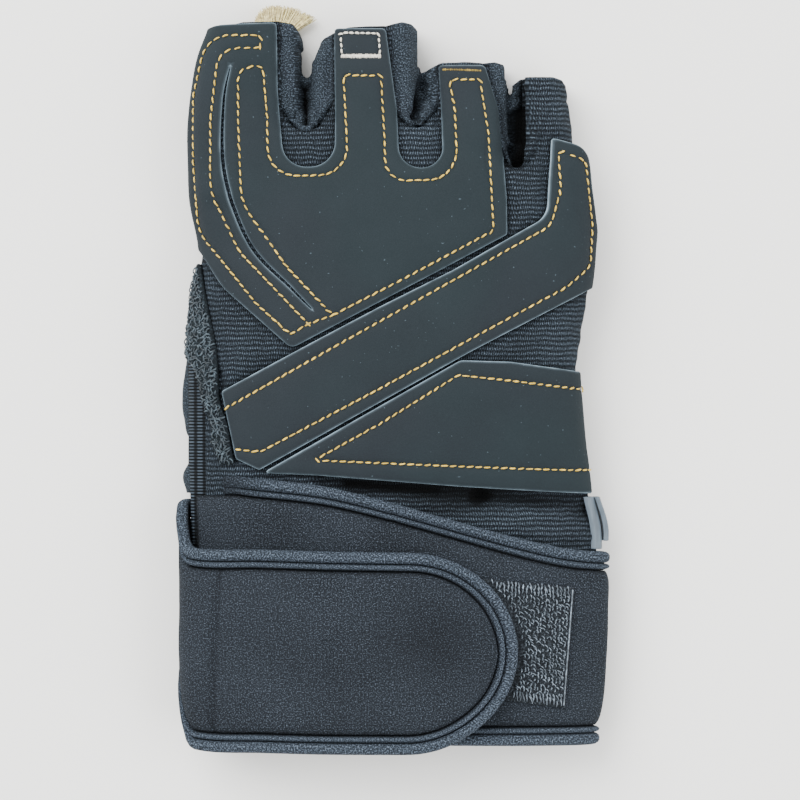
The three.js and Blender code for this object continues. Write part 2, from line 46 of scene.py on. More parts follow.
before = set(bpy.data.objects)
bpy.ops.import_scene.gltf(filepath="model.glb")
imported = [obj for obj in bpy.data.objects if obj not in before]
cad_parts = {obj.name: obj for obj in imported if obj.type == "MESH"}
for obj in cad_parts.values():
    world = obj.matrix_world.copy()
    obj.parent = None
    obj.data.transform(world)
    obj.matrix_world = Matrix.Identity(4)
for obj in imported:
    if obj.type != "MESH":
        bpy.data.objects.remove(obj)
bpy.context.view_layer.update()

# Lengths in this file are millimetres unless a name says otherwise. x runs from the middle line,
# y from the wrist edge towards the fingers and z up out of the palm. In every table along is per
# cent of the glove's length, and left, right, x, outer and inner are per cent of its width.

UPPER_SQUARENESS = 3
LOWER_SQUARENESS = 6
FLAT_SHARE = 0.97
SEAM_SHARE = 0.5
FOURCHETTE_FLOOR = 0.18
THUMB_STALL_TOP = 0.375
RAMP_EDGE = -27
RAMP_WIDTH = 9
VOXEL = 0.82
CORNER_STEPS = 7
BODY_SIDES = 96
FINGER_SIDES = 48
RING_STEP = 1.5
OVERLAY_GAP = 0.3
THREAD_DEPTH = 0.08
WEAVE_PITCH = 0.0009
AXES = ((1, 0, 0), (0, 1, 0), (0, 0, 1))

# Where the glove lies in the photograph, in pixels, and the size of a pixel
PHOTO_MIDDLE = 400
GLOVE_MIDDLE = 391.5
WRIST_EDGE = 753
PIXEL = 0.27


def table(columns, lines):
    names = columns.split()
    return [dict(zip(names, line)) for line in lines]


# Body sections. raised: share of the wrap under the body. top: share of the palm's height.
# lift: share of the height over the folded thumb stall.
HAND_ROWS = table("along left right raised top lift", [
    (2.5, -44.9, 44.7, 1, 0.7, 0),
    (9, -45.9, 46.4, 1, 0.71, 0),
    (17, -46.1, 47, 1, 0.71, 0),
    (28.5, -46.1, 47, 1, 0.71, 0),
    (34.5, -46.3, 45.4, 1, 0.8, 0.75),
    (38, -46.3, 44.8, 0.7, 0.86, 1),
    (44.2, -46.3, 43.4, 0, 0.94, 1),
    (54.2, -46.2, 42.4, 0, 1, 1),
    (60, -45.6, 43.8, 0, 1, 0.95),
    (63.3, -45.2, 45, 0, 0.995, 0.75),
    (68.9, -43.6, 45.9, 0, 0.98, 0.2),
    (75.8, -45.7, 45.2, 0, 0.93, 0),
    (80.1, -45.9, 42.7, 0, 0.88, 0),
    (81.3, -45.9, 26.2, 0, 0.86, 0),
    (85.6, -45.9, 25.7, 0, 0.82, 0),
])

FINGER_ROWS = {
    "index": table("along left right floor top", [
        (76, -45.2, -20, 0, 0.86),
        (85.3, -45.9, -20.9, 0, 0.8),
        (95, -44.1, -20.6, 0.02, 0.75),
        (99.3, -41.5, -20.6, 0.03, 0.7),
    ]),
    "middle": table("along left right floor top", [
        (72, -18.2, 7.9, 0, 0.86),
        (85.3, -18.2, 7.7, 0, 0.82),
        (95, -18.2, 6.3, 0.02, 0.77),
        (99.3, -15.9, 6.1, 0.03, 0.71),
    ]),
    "ring": table("along left right floor top", [
        (70, 9, 27, 0, 0.84),
        (80, 9.2, 27, 0, 0.8),
        (88, 8.7, 26.7, 0.02, 0.75),
        (94.2, 7.4, 26.4, 0.03, 0.68),
    ]),
    "little": table("along left right floor top", [
        (70, 27.8, 43.5, 0, 0.8),
        (80.1, 27.8, 42, 0, 0.76),
        (88, 27.5, 40.7, 0.02, 0.68),
        (92.5, 27.4, 39.8, 0.03, 0.63),
    ]),
}

# The sections that the overlays are aimed at, on past the finger tips
SHEET_ROWS = HAND_ROWS[4:12] + table("along left right raised top lift", [
    (80.1, -45.9, 42.5, 0, 0.88, 0),
    (85.3, -45.9, 41.5, 0, 0.8, 0),
    (90, -45, 40.5, 0, 0.77, 0),
    (95, -44.1, 39.8, 0, 0.74, 0),
    (99.3, -41.5, 39.8, 0, 0.7, 0),
    (102, -40, 39.8, 0, 0.69, 0),
])

THUMB_ROWS = table("along left right floor top", [
    (35.6, -47.1, -32, 0, THUMB_STALL_TOP),
    (38, -48.1, -30.5, 0, THUMB_STALL_TOP),
    (41.5, -45.7, -30, 0, THUMB_STALL_TOP),
    (44.5, -47.4, -30, 0, THUMB_STALL_TOP),
    (48.5, -48.1, -30.5, 0, THUMB_STALL_TOP),
    (52, -47.4, -31, 0, THUMB_STALL_TOP),
    (55.9, -46.1, -32.5, 0, 0.35),
])

# The gaps between the fingers: the strip's box, the seam's arc and the valley from its top to its
# bottom. rise: how fast the arc climbs, per millimetre. depth and wide are millimetres.
FOURCHETTE_ROWS = table("name left right start x along rise top_x top depth wide", [
    ("fourchette_index_middle", -25.3, -13.4, 84.3, -19.6, 85.1, 0.15, -19.7, 93.6, 3.6, 1.25),
    ("fourchette_middle_ring", 0.2, 10.7, 84.3, 5.2, 85.8, 0.13, 7.2, 95.4, 3.2, 1.15),
    ("fourchette_ring_little", 22.4, 30, 79, 28.7, 80.2, 0.2, 28.6, 92.4, 5.5, 1.7),
])

# How far the cloth reaches past each finger's tip at places across it, in millimetres
TIP_ROWS = {
    "index": ((-41, -1.5), (-38, 0.6), (-34, 1.7), (-26, 1.9), (-22.5, 1.2), (-21.2, -0.8), (-20.3, -3.2)),
    "middle": ((-18.4, -7), (-17.2, -4.4), (-15.6, -2.6), (-13.2, -1.2), (-10, 0.2), (-1.5, 0.5),
               (0.2, 1.1), (2.4, 1.7), (4.6, 1.2), (6.2, -0.5)),
    "ring": ((7.2, -1.6), (9, -0.6), (11, 0.6), (21, 0.6), (23.6, 1), (25.6, 0.4), (27, -2)),
    "little": ((27.2, -3), (28.6, -0.8), (30.5, 0.3), (37, 0.3), (39, -0.4), (40.4, -2.2)),
}

# Rolls of cloth that fill the bottoms of the gaps between the fingers; sizes in millimetres
ROLL_ROWS = table("x along height wide long high", [
    (-19.4, 86.2, 12.5, 3.6, 5.4, 5),
    (-19.8, 89.6, 9, 3, 6.5, 5),
    (8.6, 87, 12, 3, 4.6, 5),
    (27.2, 80.8, 11.5, 2.4, 3.6, 4.5),
])

# Outlines of the overlays. corner: corner radius as per cent of the glove's width.
PALM_PAD_ROWS = table("x along corner", [
    (-46.3, 99.6, 8),
    (-26.2, 100.1, 0.9),
    (-25.9, 90.8, 0),
    (-24.6, 80.1, 5.6),
    (-12.8, 80.2, 5.6),
    (-13.2, 99.2, 0.7),
    (-1.3, 99.2, 1),
    (1.3, 88.1, 5),
    (1.8, 79.9, 5.1),
    (12, 80, 5.1),
    (10.6, 94.2, 0.7),
    (21.4, 94.2, 1.3),
    (24.6, 88.1, 6.8),
    (26.3, 75.8, 6.8),
    (26.4, 70.9, 0.4),
    (-22.8, 55.4, 2.1),
    (-38.8, 63.8, 12.7),
    (-47.6, 71.8, 11.9),
    (-48.6, 85.3, 8.5),
])

CROSS_BAND_ROWS = table("x along corner", [
    (36.5, 84.2, 0.5),
    (45.1, 82.9, 4.2),
    (47.4, 71.9, 8.5),
    (48.3, 64.4, 3.4),
    (17.5, 54.8, 0),
    (-30.2, 38.9, 0.5),
    (-35.6, 40.4, 0.5),
    (-38.9, 49.6, 0.5),
    (-2.6, 61.1, 0),
    (14.1, 66.1, 0),
    (35.6, 73.4, 5.1),
])

HEEL_PAD_ROWS = table("x along corner", [
    (-29.4, 38.5, 0.3),
    (15.7, 53.8, 2.5),
    (27.1, 53.6, 0),
    (44.3, 52.2, 1.3),
    (45.6, 44.2, 0),
    (47, 35.5, 0.4),
    (14.9, 36.7, 0),
    (-17.1, 38.2, 0),
])

HOOK_PATCH_ROWS = table("x along corner", [
    (12, 24.5, 0),
    (41.9, 22.7, 0),
    (39.7, 6.2, 0),
    (13.4, 8.4, 0),
])

SLIT_ROWS = table("x along", [
    (-36.8, 94.1),
    (-38.4, 88.8),
    (-38.1, 79.2),
    (-32.3, 69.6),
    (-22.7, 63.5),
    (-17.9, 60.6),
])

THUMB_BAND_ROWS = table("along outer inner", [
    (67, -50, -44.4),
    (61.4, -50, -42.4),
    (56, -49, -40.4),
    (52.2, -45.2, -39.8),
    (48.3, -43.6, -39.4),
    (45.1, -41.5, -37.6),
    (42, -41, -36.7),
    (39.6, -39.2, -35.9),
])

WRAP_ROWS = table("share upper lower", [
    (0, 38, 1.2),
    (0.09, 36.2, 1.2),
    (0.27, 28.4, 1),
    (0.34, 27.6, 1.2),
    (0.5, 29.5, 3.5),
    (0.64, 34, 8.6),
    (0.685, 34.8, 9.6),
    (0.698, 34, 8.6),
    (0.712, 29.2, 1.6),
    (0.724, 28.1, 0.4),
    (0.78, 28, 0.2),
    (0.85, 27.7, 0),
    (1, 27.4, 0),
])
WRAP_START = -34
WRAP_ROOT = -44
WRAP_END = 25.7
WRAP_END_LENGTH = 24

# Seams in the leather: the thread's way, closed or open
MAIN_SEAM = table("x along corner", [
    (-35.0, 93.8, 3.2),
    (-29.4, 93.9, 0.7),
    (-28.4, 87, 0),
    (-28.1, 78.8, 6.9),
    (-9.8, 79, 6.4),
    (-10.9, 92.7, 0.2),
    (-2.4, 92.6, 0.2),
    (-1.6, 84, 0),
    (-1.3, 78.1, 6.9),
    (15.1, 78.4, 6.4),
    (14.5, 87.8, 0),
    (13.3, 92.1, 0.2),
    (20.2, 92.1, 0.5),
    (22.1, 84.7, 4.6),
    (23.2, 71.4, 0.2),
    (1.9, 64.6, 0),
    (-13.4, 59.9, 0),
    (-23.7, 66.4, 13.7),
    (-34.2, 75.3, 13.7),
    (-35, 86.7, 0),
])
INDEX_OUTER_SEAM = table("x along corner", [
    (-30, 96.7, 0),
    (-29.9, 98.2, 0.5),
    (-42.2, 98.2, 6.9),
    (-45.3, 90.1, 9.2),
    (-45.3, 81.2, 13.7),
    (-44.1, 71.4, 11.4),
    (-30.8, 61.5, 13.7),
    (-23, 57.3, 0.2),
    (-18.9, 58.7, 0),
    (-13.4, 59.9, 0),
])
INDEX_INNER_SEAM = table("x along corner", [
    (-30.8, 96.5, 0),
    (-39.5, 96.3, 5),
    (-41.3, 86.7, 13.7),
    (-41.3, 77.1, 13.7),
    (-34.7, 68.6, 13.7),
    (-18.9, 58.7, 0),
])
BAND_SEAM = table("x along corner", [
    (-34.9, 41.7, 0),
    (-29.9, 41.4, 0.9),
    (-2.6, 50, 0),
    (16.8, 56.3, 0),
    (39.8, 63.8, 4.6),
    (45.4, 66.7, 3.7),
    (45.9, 72.3, 6.9),
    (44.3, 81.2, 3.2),
    (41, 81.8, 0),
    (38.1, 82.3, 0.2),
    (38.6, 77.1, 4.6),
    (36.3, 72.1, 4.6),
    (22.5, 67.5, 0),
    (-2.6, 59.1, 0),
    (-37.5, 47.4, 0),
])
HEEL_SEAM = table("x along corner", [
    (45.4, 38.7, 0),
    (21.9, 39.3, 0),
    (1.9, 39.8, 0),
    (-17.6, 40.3, 0.2),
    (-2.6, 45.2, 0),
    (15.2, 51.8, 1.8),
    (27.6, 51, 0),
    (43.7, 49.8, 0),
])
MIDDLE_TIP_SEAM = table("x along corner", [
    (-11.6, 98.5, 0.3),
    (-3, 98.4, 0.3),
    (-2.6, 95.3, 0.3),
    (-11.3, 95.3, 0.3),
])
RING_BAR = table("x along", [
    (11.9, 93.55),
    (20.3, 93.35),
])

# Folds of the knit on the palm side. wide and high are millimetres; a low one is a dent.
FOLD_ROWS = table("x along to_x to_along wide high", [
    (-22, 36.5, 2, 33, 2.2, 0.8),
    (4, 32.5, 20, 34.3, 2.4, -1.2),
    (26, 31, 46, 34.5, 2.2, 0.9),
    (30, 30.2, 46, 29.6, 1.4, 0.8),
    (20, 35, 46, 33, 2, -1),
    (-10, 36.6, 10, 35.6, 1.6, -1.2),
    (-36, 38.2, -31, 36.4, 1.3, 0.9),
    (28, 71, 33, 78, 1.6, 0.5),
    (38, 58.5, 43, 56.5, 1.8, 0.5),
    (-40, 62, -34, 54, 2.6, 0.5),
    (-16, 37, 20, 35.4, 2.6, -1.6),
    (20, 35.4, 46, 34.2, 2.2, -1.4),
    (-43.8, 66, -39.4, 52, 0.8, -0.9),
    (-39.4, 52, -35.8, 40, 0.8, -0.9),
    (-23.6, 98.8, -22.8, 88.5, 1.3, 0.9),
    (-25.6, 97, -24.4, 87, 0.8, -0.6),
    (-16.2, 97, -16.7, 88.5, 1.2, 0.8),
    (-14.6, 96, -14.4, 87, 0.8, -0.7),
    (-22, 87.6, -17.6, 87.9, 1, 0.7),
    (2.8, 98.8, 3.6, 89, 1.5, 0.9),
    (0.4, 97, 1, 88, 0.8, -0.5),
    (8.7, 93.4, 8, 88, 1.1, 0.8),
    (2.6, 88.6, 6.2, 87.4, 1.1, 1),
    (24.6, 93.2, 26, 84, 1.2, 0.8),
    (26.6, 83.6, 30.6, 82.6, 1.1, 0.9),
])

TAB_ROWS = table("x tip lean", [
    (-29.5, 100.9, -0.5),
    (-28, 102.2, -0.3),
    (-26.4, 102.9, -0.08),
    (-24.9, 102.9, 0.2),
    (-23.4, 102.5, 0.6),
    (-22.2, 101.7, 0.95),
    (-21.6, 101, 1.15),
])


def linear(red, green, blue):
    """A display colour, 0 to 255, as the scene colour that a shader takes"""
    return tuple(((channel / 255 + 0.055) / 1.055) ** 2.4 for channel in (red, green, blue))


def length_of(name, description, millimetres):
    return bpy.props.FloatProperty(
        name=name,
        description=description,
        default=millimetres / 1000,
        min=0.0001,
        unit="LENGTH",
        subtype="DISTANCE",
        precision=4,
    )


def colour_of(name, description, red, green, blue):
    return bpy.props.FloatVectorProperty(
        name=name,
        description=description,
        default=linear(red, green, blue),
        min=0,
        max=1,
        size=3,
        subtype="COLOR",
    )


def strength_of(name, description, value, unit="NONE"):
    return bpy.props.FloatProperty(
        name=name,
        description=description,
        default=value,
        min=0,
        unit=unit,
    )


class GloveSizes(bpy.types.PropertyGroup):
    """The sizes of the glove"""

    glove_length: length_of("Glove length", "Wrist edge to the tip of the index leather", 197)
    glove_width: length_of("Glove width", "Across the fastened wrap", 118)
    palm_height: length_of("Palm height", "Surface to palm of the puffed body", 24)
    knit_wall: length_of("Knit thickness", "Wall of the knit body", 1.5)
    leather_wall: length_of("Leather thickness", "Wall of the leather overlays", 1.3)
    loop_wall: length_of("Looped cloth thickness", "Thickness of the band at the thumb", 1.2)
    facing_wall: length_of("Facing thickness", "Both layers of the side strip", 2.4)
    wrap_wall: length_of("Wrap thickness", "Thickness of the wrist wrap", 3)
    hook_wall: length_of("Hook tape thickness", "Backing of the hook tape", 0.7)
    hem_width: length_of("Hem width", "Both rolls of the wrap's hem", 5.2)
    slit_width: length_of("Slit width", "Widest part of the slit in the leather", 1.05)
    clearance: length_of("Clearance", "Between neighbouring pieces", 0.3)
    stitch_pitch: length_of("Stitch pitch", "From one stitch to the next", 2.3)
    stitch_length: length_of("Stitch length", "Thread that shows in one stitch", 1.8)
    thread: length_of("Thread thickness", "Thickness of the sewing thread", 0.5)
    rib_pitch: length_of("Rib pitch", "From one rib of the knit to the next", 1.35)


class GloveColours(bpy.types.PropertyGroup):
    """The colours of the glove"""

    knit: colour_of("Knit", "Knit body", 33, 39, 45)
    stretch: colour_of("Stretch cloth", "Strips between the fingers and thumb stall", 25, 30, 35)
    leather: colour_of("Leather", "Leather overlays", 27, 34, 38)
    cut_edge: colour_of("Cut edge", "Cut edge of the leather", 150, 172, 186)
    wrap: colour_of("Wrap", "Cloth of the wrist wrap", 26, 30, 35)
    hem: colour_of("Hem", "Rolled hem of the wrap", 30, 35, 41)
    loops: colour_of("Looped cloth", "Band at the thumb", 62, 74, 82)
    hooks: colour_of("Hooks", "Hooks of the hook tape", 120, 132, 144)
    facing: colour_of("Facing", "Strip at the side", 84, 96, 106)
    thread: colour_of("Thread", "Sewing thread of the seams", 222, 188, 86)
    pale_thread: colour_of("Pale thread", "Thread of the box at the middle finger", 232, 228, 214)
    tab: colour_of("Tab", "Frayed tab at the index finger", 246, 226, 168)


class StageSettings(bpy.types.PropertyGroup):
    """The surface, the light and the camera"""

    floor: colour_of("Floor", "Surface that the glove lies on", 252, 252, 249)
    view_width: length_of("View width", "Width that the camera takes in", 216)
    camera_height: length_of("Camera height", "Camera over the surface", 1300)
    daylight: strength_of("Daylight", "Strength of the even light from all round", 1.5)
    window_power: strength_of("Window power", "Large light at the upper left", 45, "POWER")
    fill_power: strength_of("Fill power", "Large light at the right", 18, "POWER")


# Shapes


def column_at(rows, key, column, place):
    """Smooth value of one column at a place between two rows"""
    last = len(rows) - 1
    at = 0
    while at < last - 1 and place > rows[at + 1][key]:
        at += 1
    start, end = rows[at], rows[at + 1]
    before, after = rows[max(at - 1, 0)], rows[min(at + 2, last)]
    span = end[key] - start[key]
    slope_start = (end[column] - before[column]) / (end[key] - before[key]) * span
    slope_end = (after[column] - start[column]) / (after[key] - start[key]) * span
    t = min(max((place - start[key]) / span, 0), 1)
    return (
        (2 * t**3 - 3 * t**2 + 1) * start[column]
        + (t**3 - 2 * t**2 + t) * slope_start
        + (3 * t**2 - 2 * t**3) * end[column]
        + (t**3 - t**2) * slope_end
    )


def row_at(rows, place):
    row = {column: column_at(rows, "along", column, place) for column in rows[0]}
    row["along"] = place
    return row


def signed_power(value, power):
    return np.sign(value) * np.abs(value) ** power


def smooth_step(value):
    t = np.clip(value, 0, 1)
    return t * t * (3 - 2 * t)


def ridge(away, wide):
    """1 on a line, falling off smoothly over a width to either side"""
    return np.exp(-((away / wide) ** 2))


def plateau(away, wide):
    """1 near a line, falling off fast past a width to either side"""
    return np.exp(-((away / wide) ** 4))


class Form:
    """The glove's shape in millimetres, from the sizes in the panel"""

    def __init__(self, sizes):
        for name in GloveSizes.__annotations__:
            setattr(self, name, getattr(sizes, name) * 1000)
        self.length, self.width = self.glove_length, self.glove_width
        self.height, self.gap = self.palm_height, self.clearance
        self.wrap_layer = self.gap + self.wrap_wall
        self.strap_offset = self.wrap_layer + self.gap + 1 + self.gap
        self.seam = SEAM_SHARE * self.height
        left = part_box("fourchette_middle_ring")[0][0] * 1000
        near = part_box("wrap_hem")[0][1] * 1000
        self.shift = np.array((left - self.across(FOURCHETTE_ROWS[1]["left"]) - self.gap / 2, near, 0.0))

    def across(self, share):
        return share / 100 * self.width

    def along(self, share):
        return share / 100 * self.length

    def place(self, x, along):
        """A place in the plane of the palm, from its shares of the width and the length"""
        return np.array((self.across(x), self.along(along)))

    def to_frame(self, points):
        return (np.asarray(points, float) + self.shift) / 1000

    def from_frame(self, points):
        return np.asarray(points, float) * 1000 - self.shift

    def span(self, row):
        """Middle and half width of a section"""
        left, right = self.across(row["left"]), self.across(row["right"])
        return (left + right) / 2, (right - left) / 2

    def floor_at(self, row, x):
        if "lift" not in row:
            return row["floor"] * self.height
        ramp = smooth_step((self.across(RAMP_EDGE) - x) / self.across(RAMP_WIDTH))
        over_stall = row["lift"] * (THUMB_STALL_TOP * self.height + self.gap) * ramp
        return max(row["raised"] * self.wrap_layer, over_stall)

    def section_point(self, row, offset, angle):
        """Point of a section's ring at an angle, moved out by offset"""
        middle, half = self.span(row)
        half += offset
        base = row["raised"] * self.wrap_layer if "lift" in row else row["floor"] * self.height
        top = row["top"] * self.height
        waist = (base + top) / 2
        cosine, sine = math.cos(angle), math.sin(angle)
        squareness = UPPER_SQUARENESS if sine >= 0 else LOWER_SQUARENESS
        x = middle + half * math.copysign(abs(cosine) ** (2 / squareness), cosine)
        if sine >= 0:
            return x, waist + (top - waist + offset) * sine
        depth = max(sine / FLAT_SHARE, -1)
        return x, waist + (waist - self.floor_at(row, x + offset) + offset) * depth

    def loft(self, rows, sides, offset, near, far, step):
        """Rings of points along a table's sections, from near to far in millimetres"""
        places = list(np.arange(near, far, step)) + [far]
        rings = []
        for y in places:
            row = row_at(rows, y / self.length * 100)
            turns = [-2 * math.pi * side / sides for side in range(sides)]
            ring = [self.section_point(row, offset, turn) for turn in turns]
            rings.append([(x, y, z) for x, z in ring])
        return rings

    def outline(self, rows, closed=True):
        """Points of an outline with its corners rounded, in the plane of the palm"""
        corners = [self.place(row["x"], row["along"]) for row in rows]
        points = []
        for index, at in enumerate(corners):
            if not closed and index in (0, len(corners) - 1):
                points.append(at)
                continue
            radius = self.across(rows[index]["corner"])
            before = corners[index - 1]
            after = corners[(index + 1) % len(corners)]
            points += rounded_corner(before, at, after, radius)
        return np.array(points)


def rounded_corner(before, at, after, radius):
    """Points of a round corner, no larger than its two sides allow"""
    to_before, to_after = before - at, after - at
    shorter = min(np.linalg.norm(to_before), np.linalg.norm(to_after))
    to_before = to_before / np.linalg.norm(to_before)
    to_after = to_after / np.linalg.norm(to_after)
    half = math.acos(min(max(float(to_before @ to_after), -1), 1)) / 2
    reach = min(radius / math.tan(half), 0.48 * shorter)
    if reach < 0.01:
        return [at]
    start, end = at + to_before * reach, at + to_after * reach
    weight = math.sin(half)
    arc = []
    for step in range(CORNER_STEPS + 1):
        t = step / CORNER_STEPS
        a, b, c = (1 - t) ** 2, 2 * t * (1 - t) * weight, t * t
        arc.append((start * a + at * b + end * c) / (a + b + c))
    return arc


def resampled(points, step, closed):
    """The same line with even steps"""
    points = np.asarray(points, float)
    if closed:
        points = np.vstack([points, points[:1]])
    lengths = np.linalg.norm(np.diff(points, axis=0), axis=1)
    at = np.concatenate([[0], np.cumsum(lengths)])
    count = max(int(round(at[-1] / step)), 2)
    where = np.linspace(0, at[-1], count + 1)
    line = np.column_stack([np.interp(where, at, column) for column in points.T])
    return line[:-1] if closed else line


def closed_line(line):
    return np.vstack([line, line[:1]])


def left_of(ways):
    """Unit vectors to the left of some directions in the plane"""
    sides = np.column_stack([-ways[:, 1], ways[:, 0]])
    return sides / np.maximum(np.linalg.norm(sides, axis=1), 1e-9)[:, None]


def spline(points, step):
    """Smooth line through a few points"""
    points = np.asarray(points, float)
    line = []
    for at in range(len(points) - 1):
        before, after = points[max(at - 1, 0)], points[min(at + 2, len(points) - 1)]
        start, end = points[at], points[at + 1]
        for t in np.arange(0, 1, 0.1):
            line.append(0.5 * (
                2 * start
                + (end - before) * t
                + (2 * before - 5 * start + 4 * end - after) * t**2
                + (3 * start - before - 3 * end + after) * t**3
            ))
    line.append(points[-1])
    return resampled(line, step, False)


def inside(points, outline):
    """Which points lie inside a closed outline"""
    x, y = points[:, 0], points[:, 1]
    result = np.zeros(len(points), bool)
    ends = np.roll(outline, -1, axis=0)
    for (x1, y1), (x2, y2) in zip(outline, ends):
        if y1 == y2:
            continue
        crosses = ((y1 > y) != (y2 > y)) & (x < (x2 - x1) * (y - y1) / (y2 - y1) + x1)
        result ^= crosses
    return result


def distance_to(points, lines):
    """Distance from each point to the nearest of some lines, and the place along it"""
    best = np.full(len(points), 1e9)
    place = np.zeros(len(points))
    batch = 1500
    for line in lines:
        starts, ends = line[:-1], line[1:]
        spans = ends - starts
        squares = np.maximum((spans**2).sum(1), 1e-12)
        run = np.concatenate([[0], np.cumsum(np.sqrt(squares))])[:-1]
        for first in range(0, len(points), batch):
            some = points[first : first + batch]
            apart = some[:, None, :] - starts[None]
            t = np.clip((apart * spans[None]).sum(2) / squares, 0, 1)
            gaps = ((apart - t[..., None] * spans[None]) ** 2).sum(2)
            pick = gaps.argmin(1)
            rows = np.arange(len(some))
            near = np.sqrt(gaps[rows, pick])
            closer = near < best[first : first + batch]
            here = np.arange(first, first + len(some))[closer]
            best[here] = near[closer]
            place[here] = (run[pick] + t[rows, pick] * np.sqrt(squares[pick]))[closer]
    return best, place


def ripples(points, size, seed):
    """Smooth random heights from -1 to 1 with bumps of a size"""
    offset = Vector((seed * 3.7, seed * 1.3, seed * 2.1))
    return np.array([noise.noise(Vector(point) / size + offset) for point in points])


# Meshes


def deselect():
    bpy.ops.object.select_all(action="DESELECT")


def make_active(piece):
    deselect()
    piece.select_set(True)
    bpy.context.view_layer.objects.active = piece


def new_piece(name, points, faces, finish=None, uvs=None, marks=None):
    """A mesh object from points in metres, with its place in its mesh"""
    mesh = bpy.data.meshes.new(name)
    mesh.from_pydata(np.asarray(points).tolist(), [], faces)
    mesh.update()
    if uvs is not None:
        set_weave(mesh, uvs)
    for mark, values in (marks or {}).items():
        attribute = mesh.attributes.new(mark, "FLOAT", "POINT")
        attribute.data.foreach_set("value", np.asarray(values, dtype=np.float32))
    for polygon in mesh.polygons:
        polygon.use_smooth = True
    piece = bpy.data.objects.new(name, mesh)
    bpy.context.collection.objects.link(piece)
    if finish is not None:
        mesh.materials.append(finish)
    return piece


def set_weave(mesh, uvs):
    """Gives each corner of each face its point's place in the cloth"""
    corners = np.empty(len(mesh.loops), dtype=np.int32)
    mesh.loops.foreach_get("vertex_index", corners)
    layer = mesh.uv_layers.new(name="weave")
    layer.data.foreach_set("uv", np.asarray(uvs)[corners].astype(np.float32).ravel())


def points_of(mesh):
    points = np.empty(len(mesh.vertices) * 3)
    mesh.vertices.foreach_get("co", points)
    return points.reshape(-1, 3)


def normals_of(mesh):
    normals = np.empty(len(mesh.vertices) * 3)
    mesh.vertices.foreach_get("normal", normals)
    return normals.reshape(-1, 3)


def set_points(mesh, points):
    mesh.vertices.foreach_set("co", np.asarray(points, float).ravel())
    mesh.update()


def finish_modifier(piece, kind, **settings):
    """Adds a modifier and applies it"""
    make_active(piece)
    modifier = piece.modifiers.new(kind.title(), kind)
    for key, value in settings.items():
        setattr(modifier, key, value)
    bpy.ops.object.modifier_apply(modifier=modifier.name)


def ring_faces(count, sides):
    """Faces between neighbouring rings of points"""
    faces = []
    for ring in range(count - 1):
        here, there = ring * sides, (ring + 1) * sides
        for side in range(sides):
            following = (side + 1) % sides
            faces.append((here + side, here + following, there + following, there + side))
    return faces


def capped(rings):
    """Points and faces of a closed skin through rings"""
    sides = len(rings[0])
    points = [point for ring in rings for point in ring]
    faces = ring_faces(len(rings), sides)
    faces.append(tuple(reversed(range(sides))))
    faces.append(tuple(range(len(points) - sides, len(points))))
    return points, faces


def slab(upper, lower, wide):
    """Points and faces of a closed slab between two grids, each wide points across"""
    count = len(upper)
    rows = count // wide
    faces = []
    for i in range(rows - 1):
        for j in range(wide - 1):
            a, b = i * wide + j, (i + 1) * wide + j
            faces.append((a, b, b + 1, a + 1))
            faces.append((a + 1 + count, b + 1 + count, b + count, a + count))
    rim = list(range(wide))
    rim += [i * wide + wide - 1 for i in range(1, rows)]
    rim += [(rows - 1) * wide + j for j in range(wide - 2, -1, -1)]
    rim += [i * wide for i in range(rows - 2, 0, -1)]
    faces += [(a, b, b + count, a + count) for a, b in zip(rim, rim[1:] + rim[:1])]
    return upper + lower, faces


def joined(parts):
    """One mesh of several, each given as its points and faces"""
    points, faces = [], []
    for part_points, part_faces in parts:
        start = len(points)
        points += [tuple(point) for point in part_points]
        faces += [tuple(start + corner for corner in face) for face in part_faces]
    return points, faces


def tube(path, radii, sides):
    """Points and faces of a closed round tube along a path"""
    path = np.asarray(path, float)
    tangents = np.gradient(path, axis=0)
    tangents /= np.linalg.norm(tangents, axis=1)[:, None]
    up = np.array((0, 0, 1.0)) if abs(tangents[0][2]) < 0.9 else np.array((1.0, 0, 0))
    side = np.cross(tangents[0], up)
    rings = []
    for at, tangent, radius in zip(path, tangents, radii):
        side = side - tangent * (side @ tangent)
        side /= np.linalg.norm(side)
        other = np.cross(tangent, side)
        angles = 2 * math.pi * np.arange(sides) / sides
        rings.append([at + radius * (math.cos(a) * side + math.sin(a) * other) for a in angles])
    return capped(rings)


def copies(template, places):
    """One mesh of many copies. A place is an origin, three axes and a scale along each."""
    points, faces = np.asarray(template[0], float), template[1]
    all_points, all_faces = [], []
    for number, (origin, axes, scale) in enumerate(places):
        all_points.append(np.asarray(origin) + (points * np.asarray(scale)) @ np.asarray(axes))
        start = number * len(points)
        all_faces += [tuple(start + corner for corner in face) for face in faces]
    return np.vstack(all_points), all_faces


# Finishes

WORK = {}


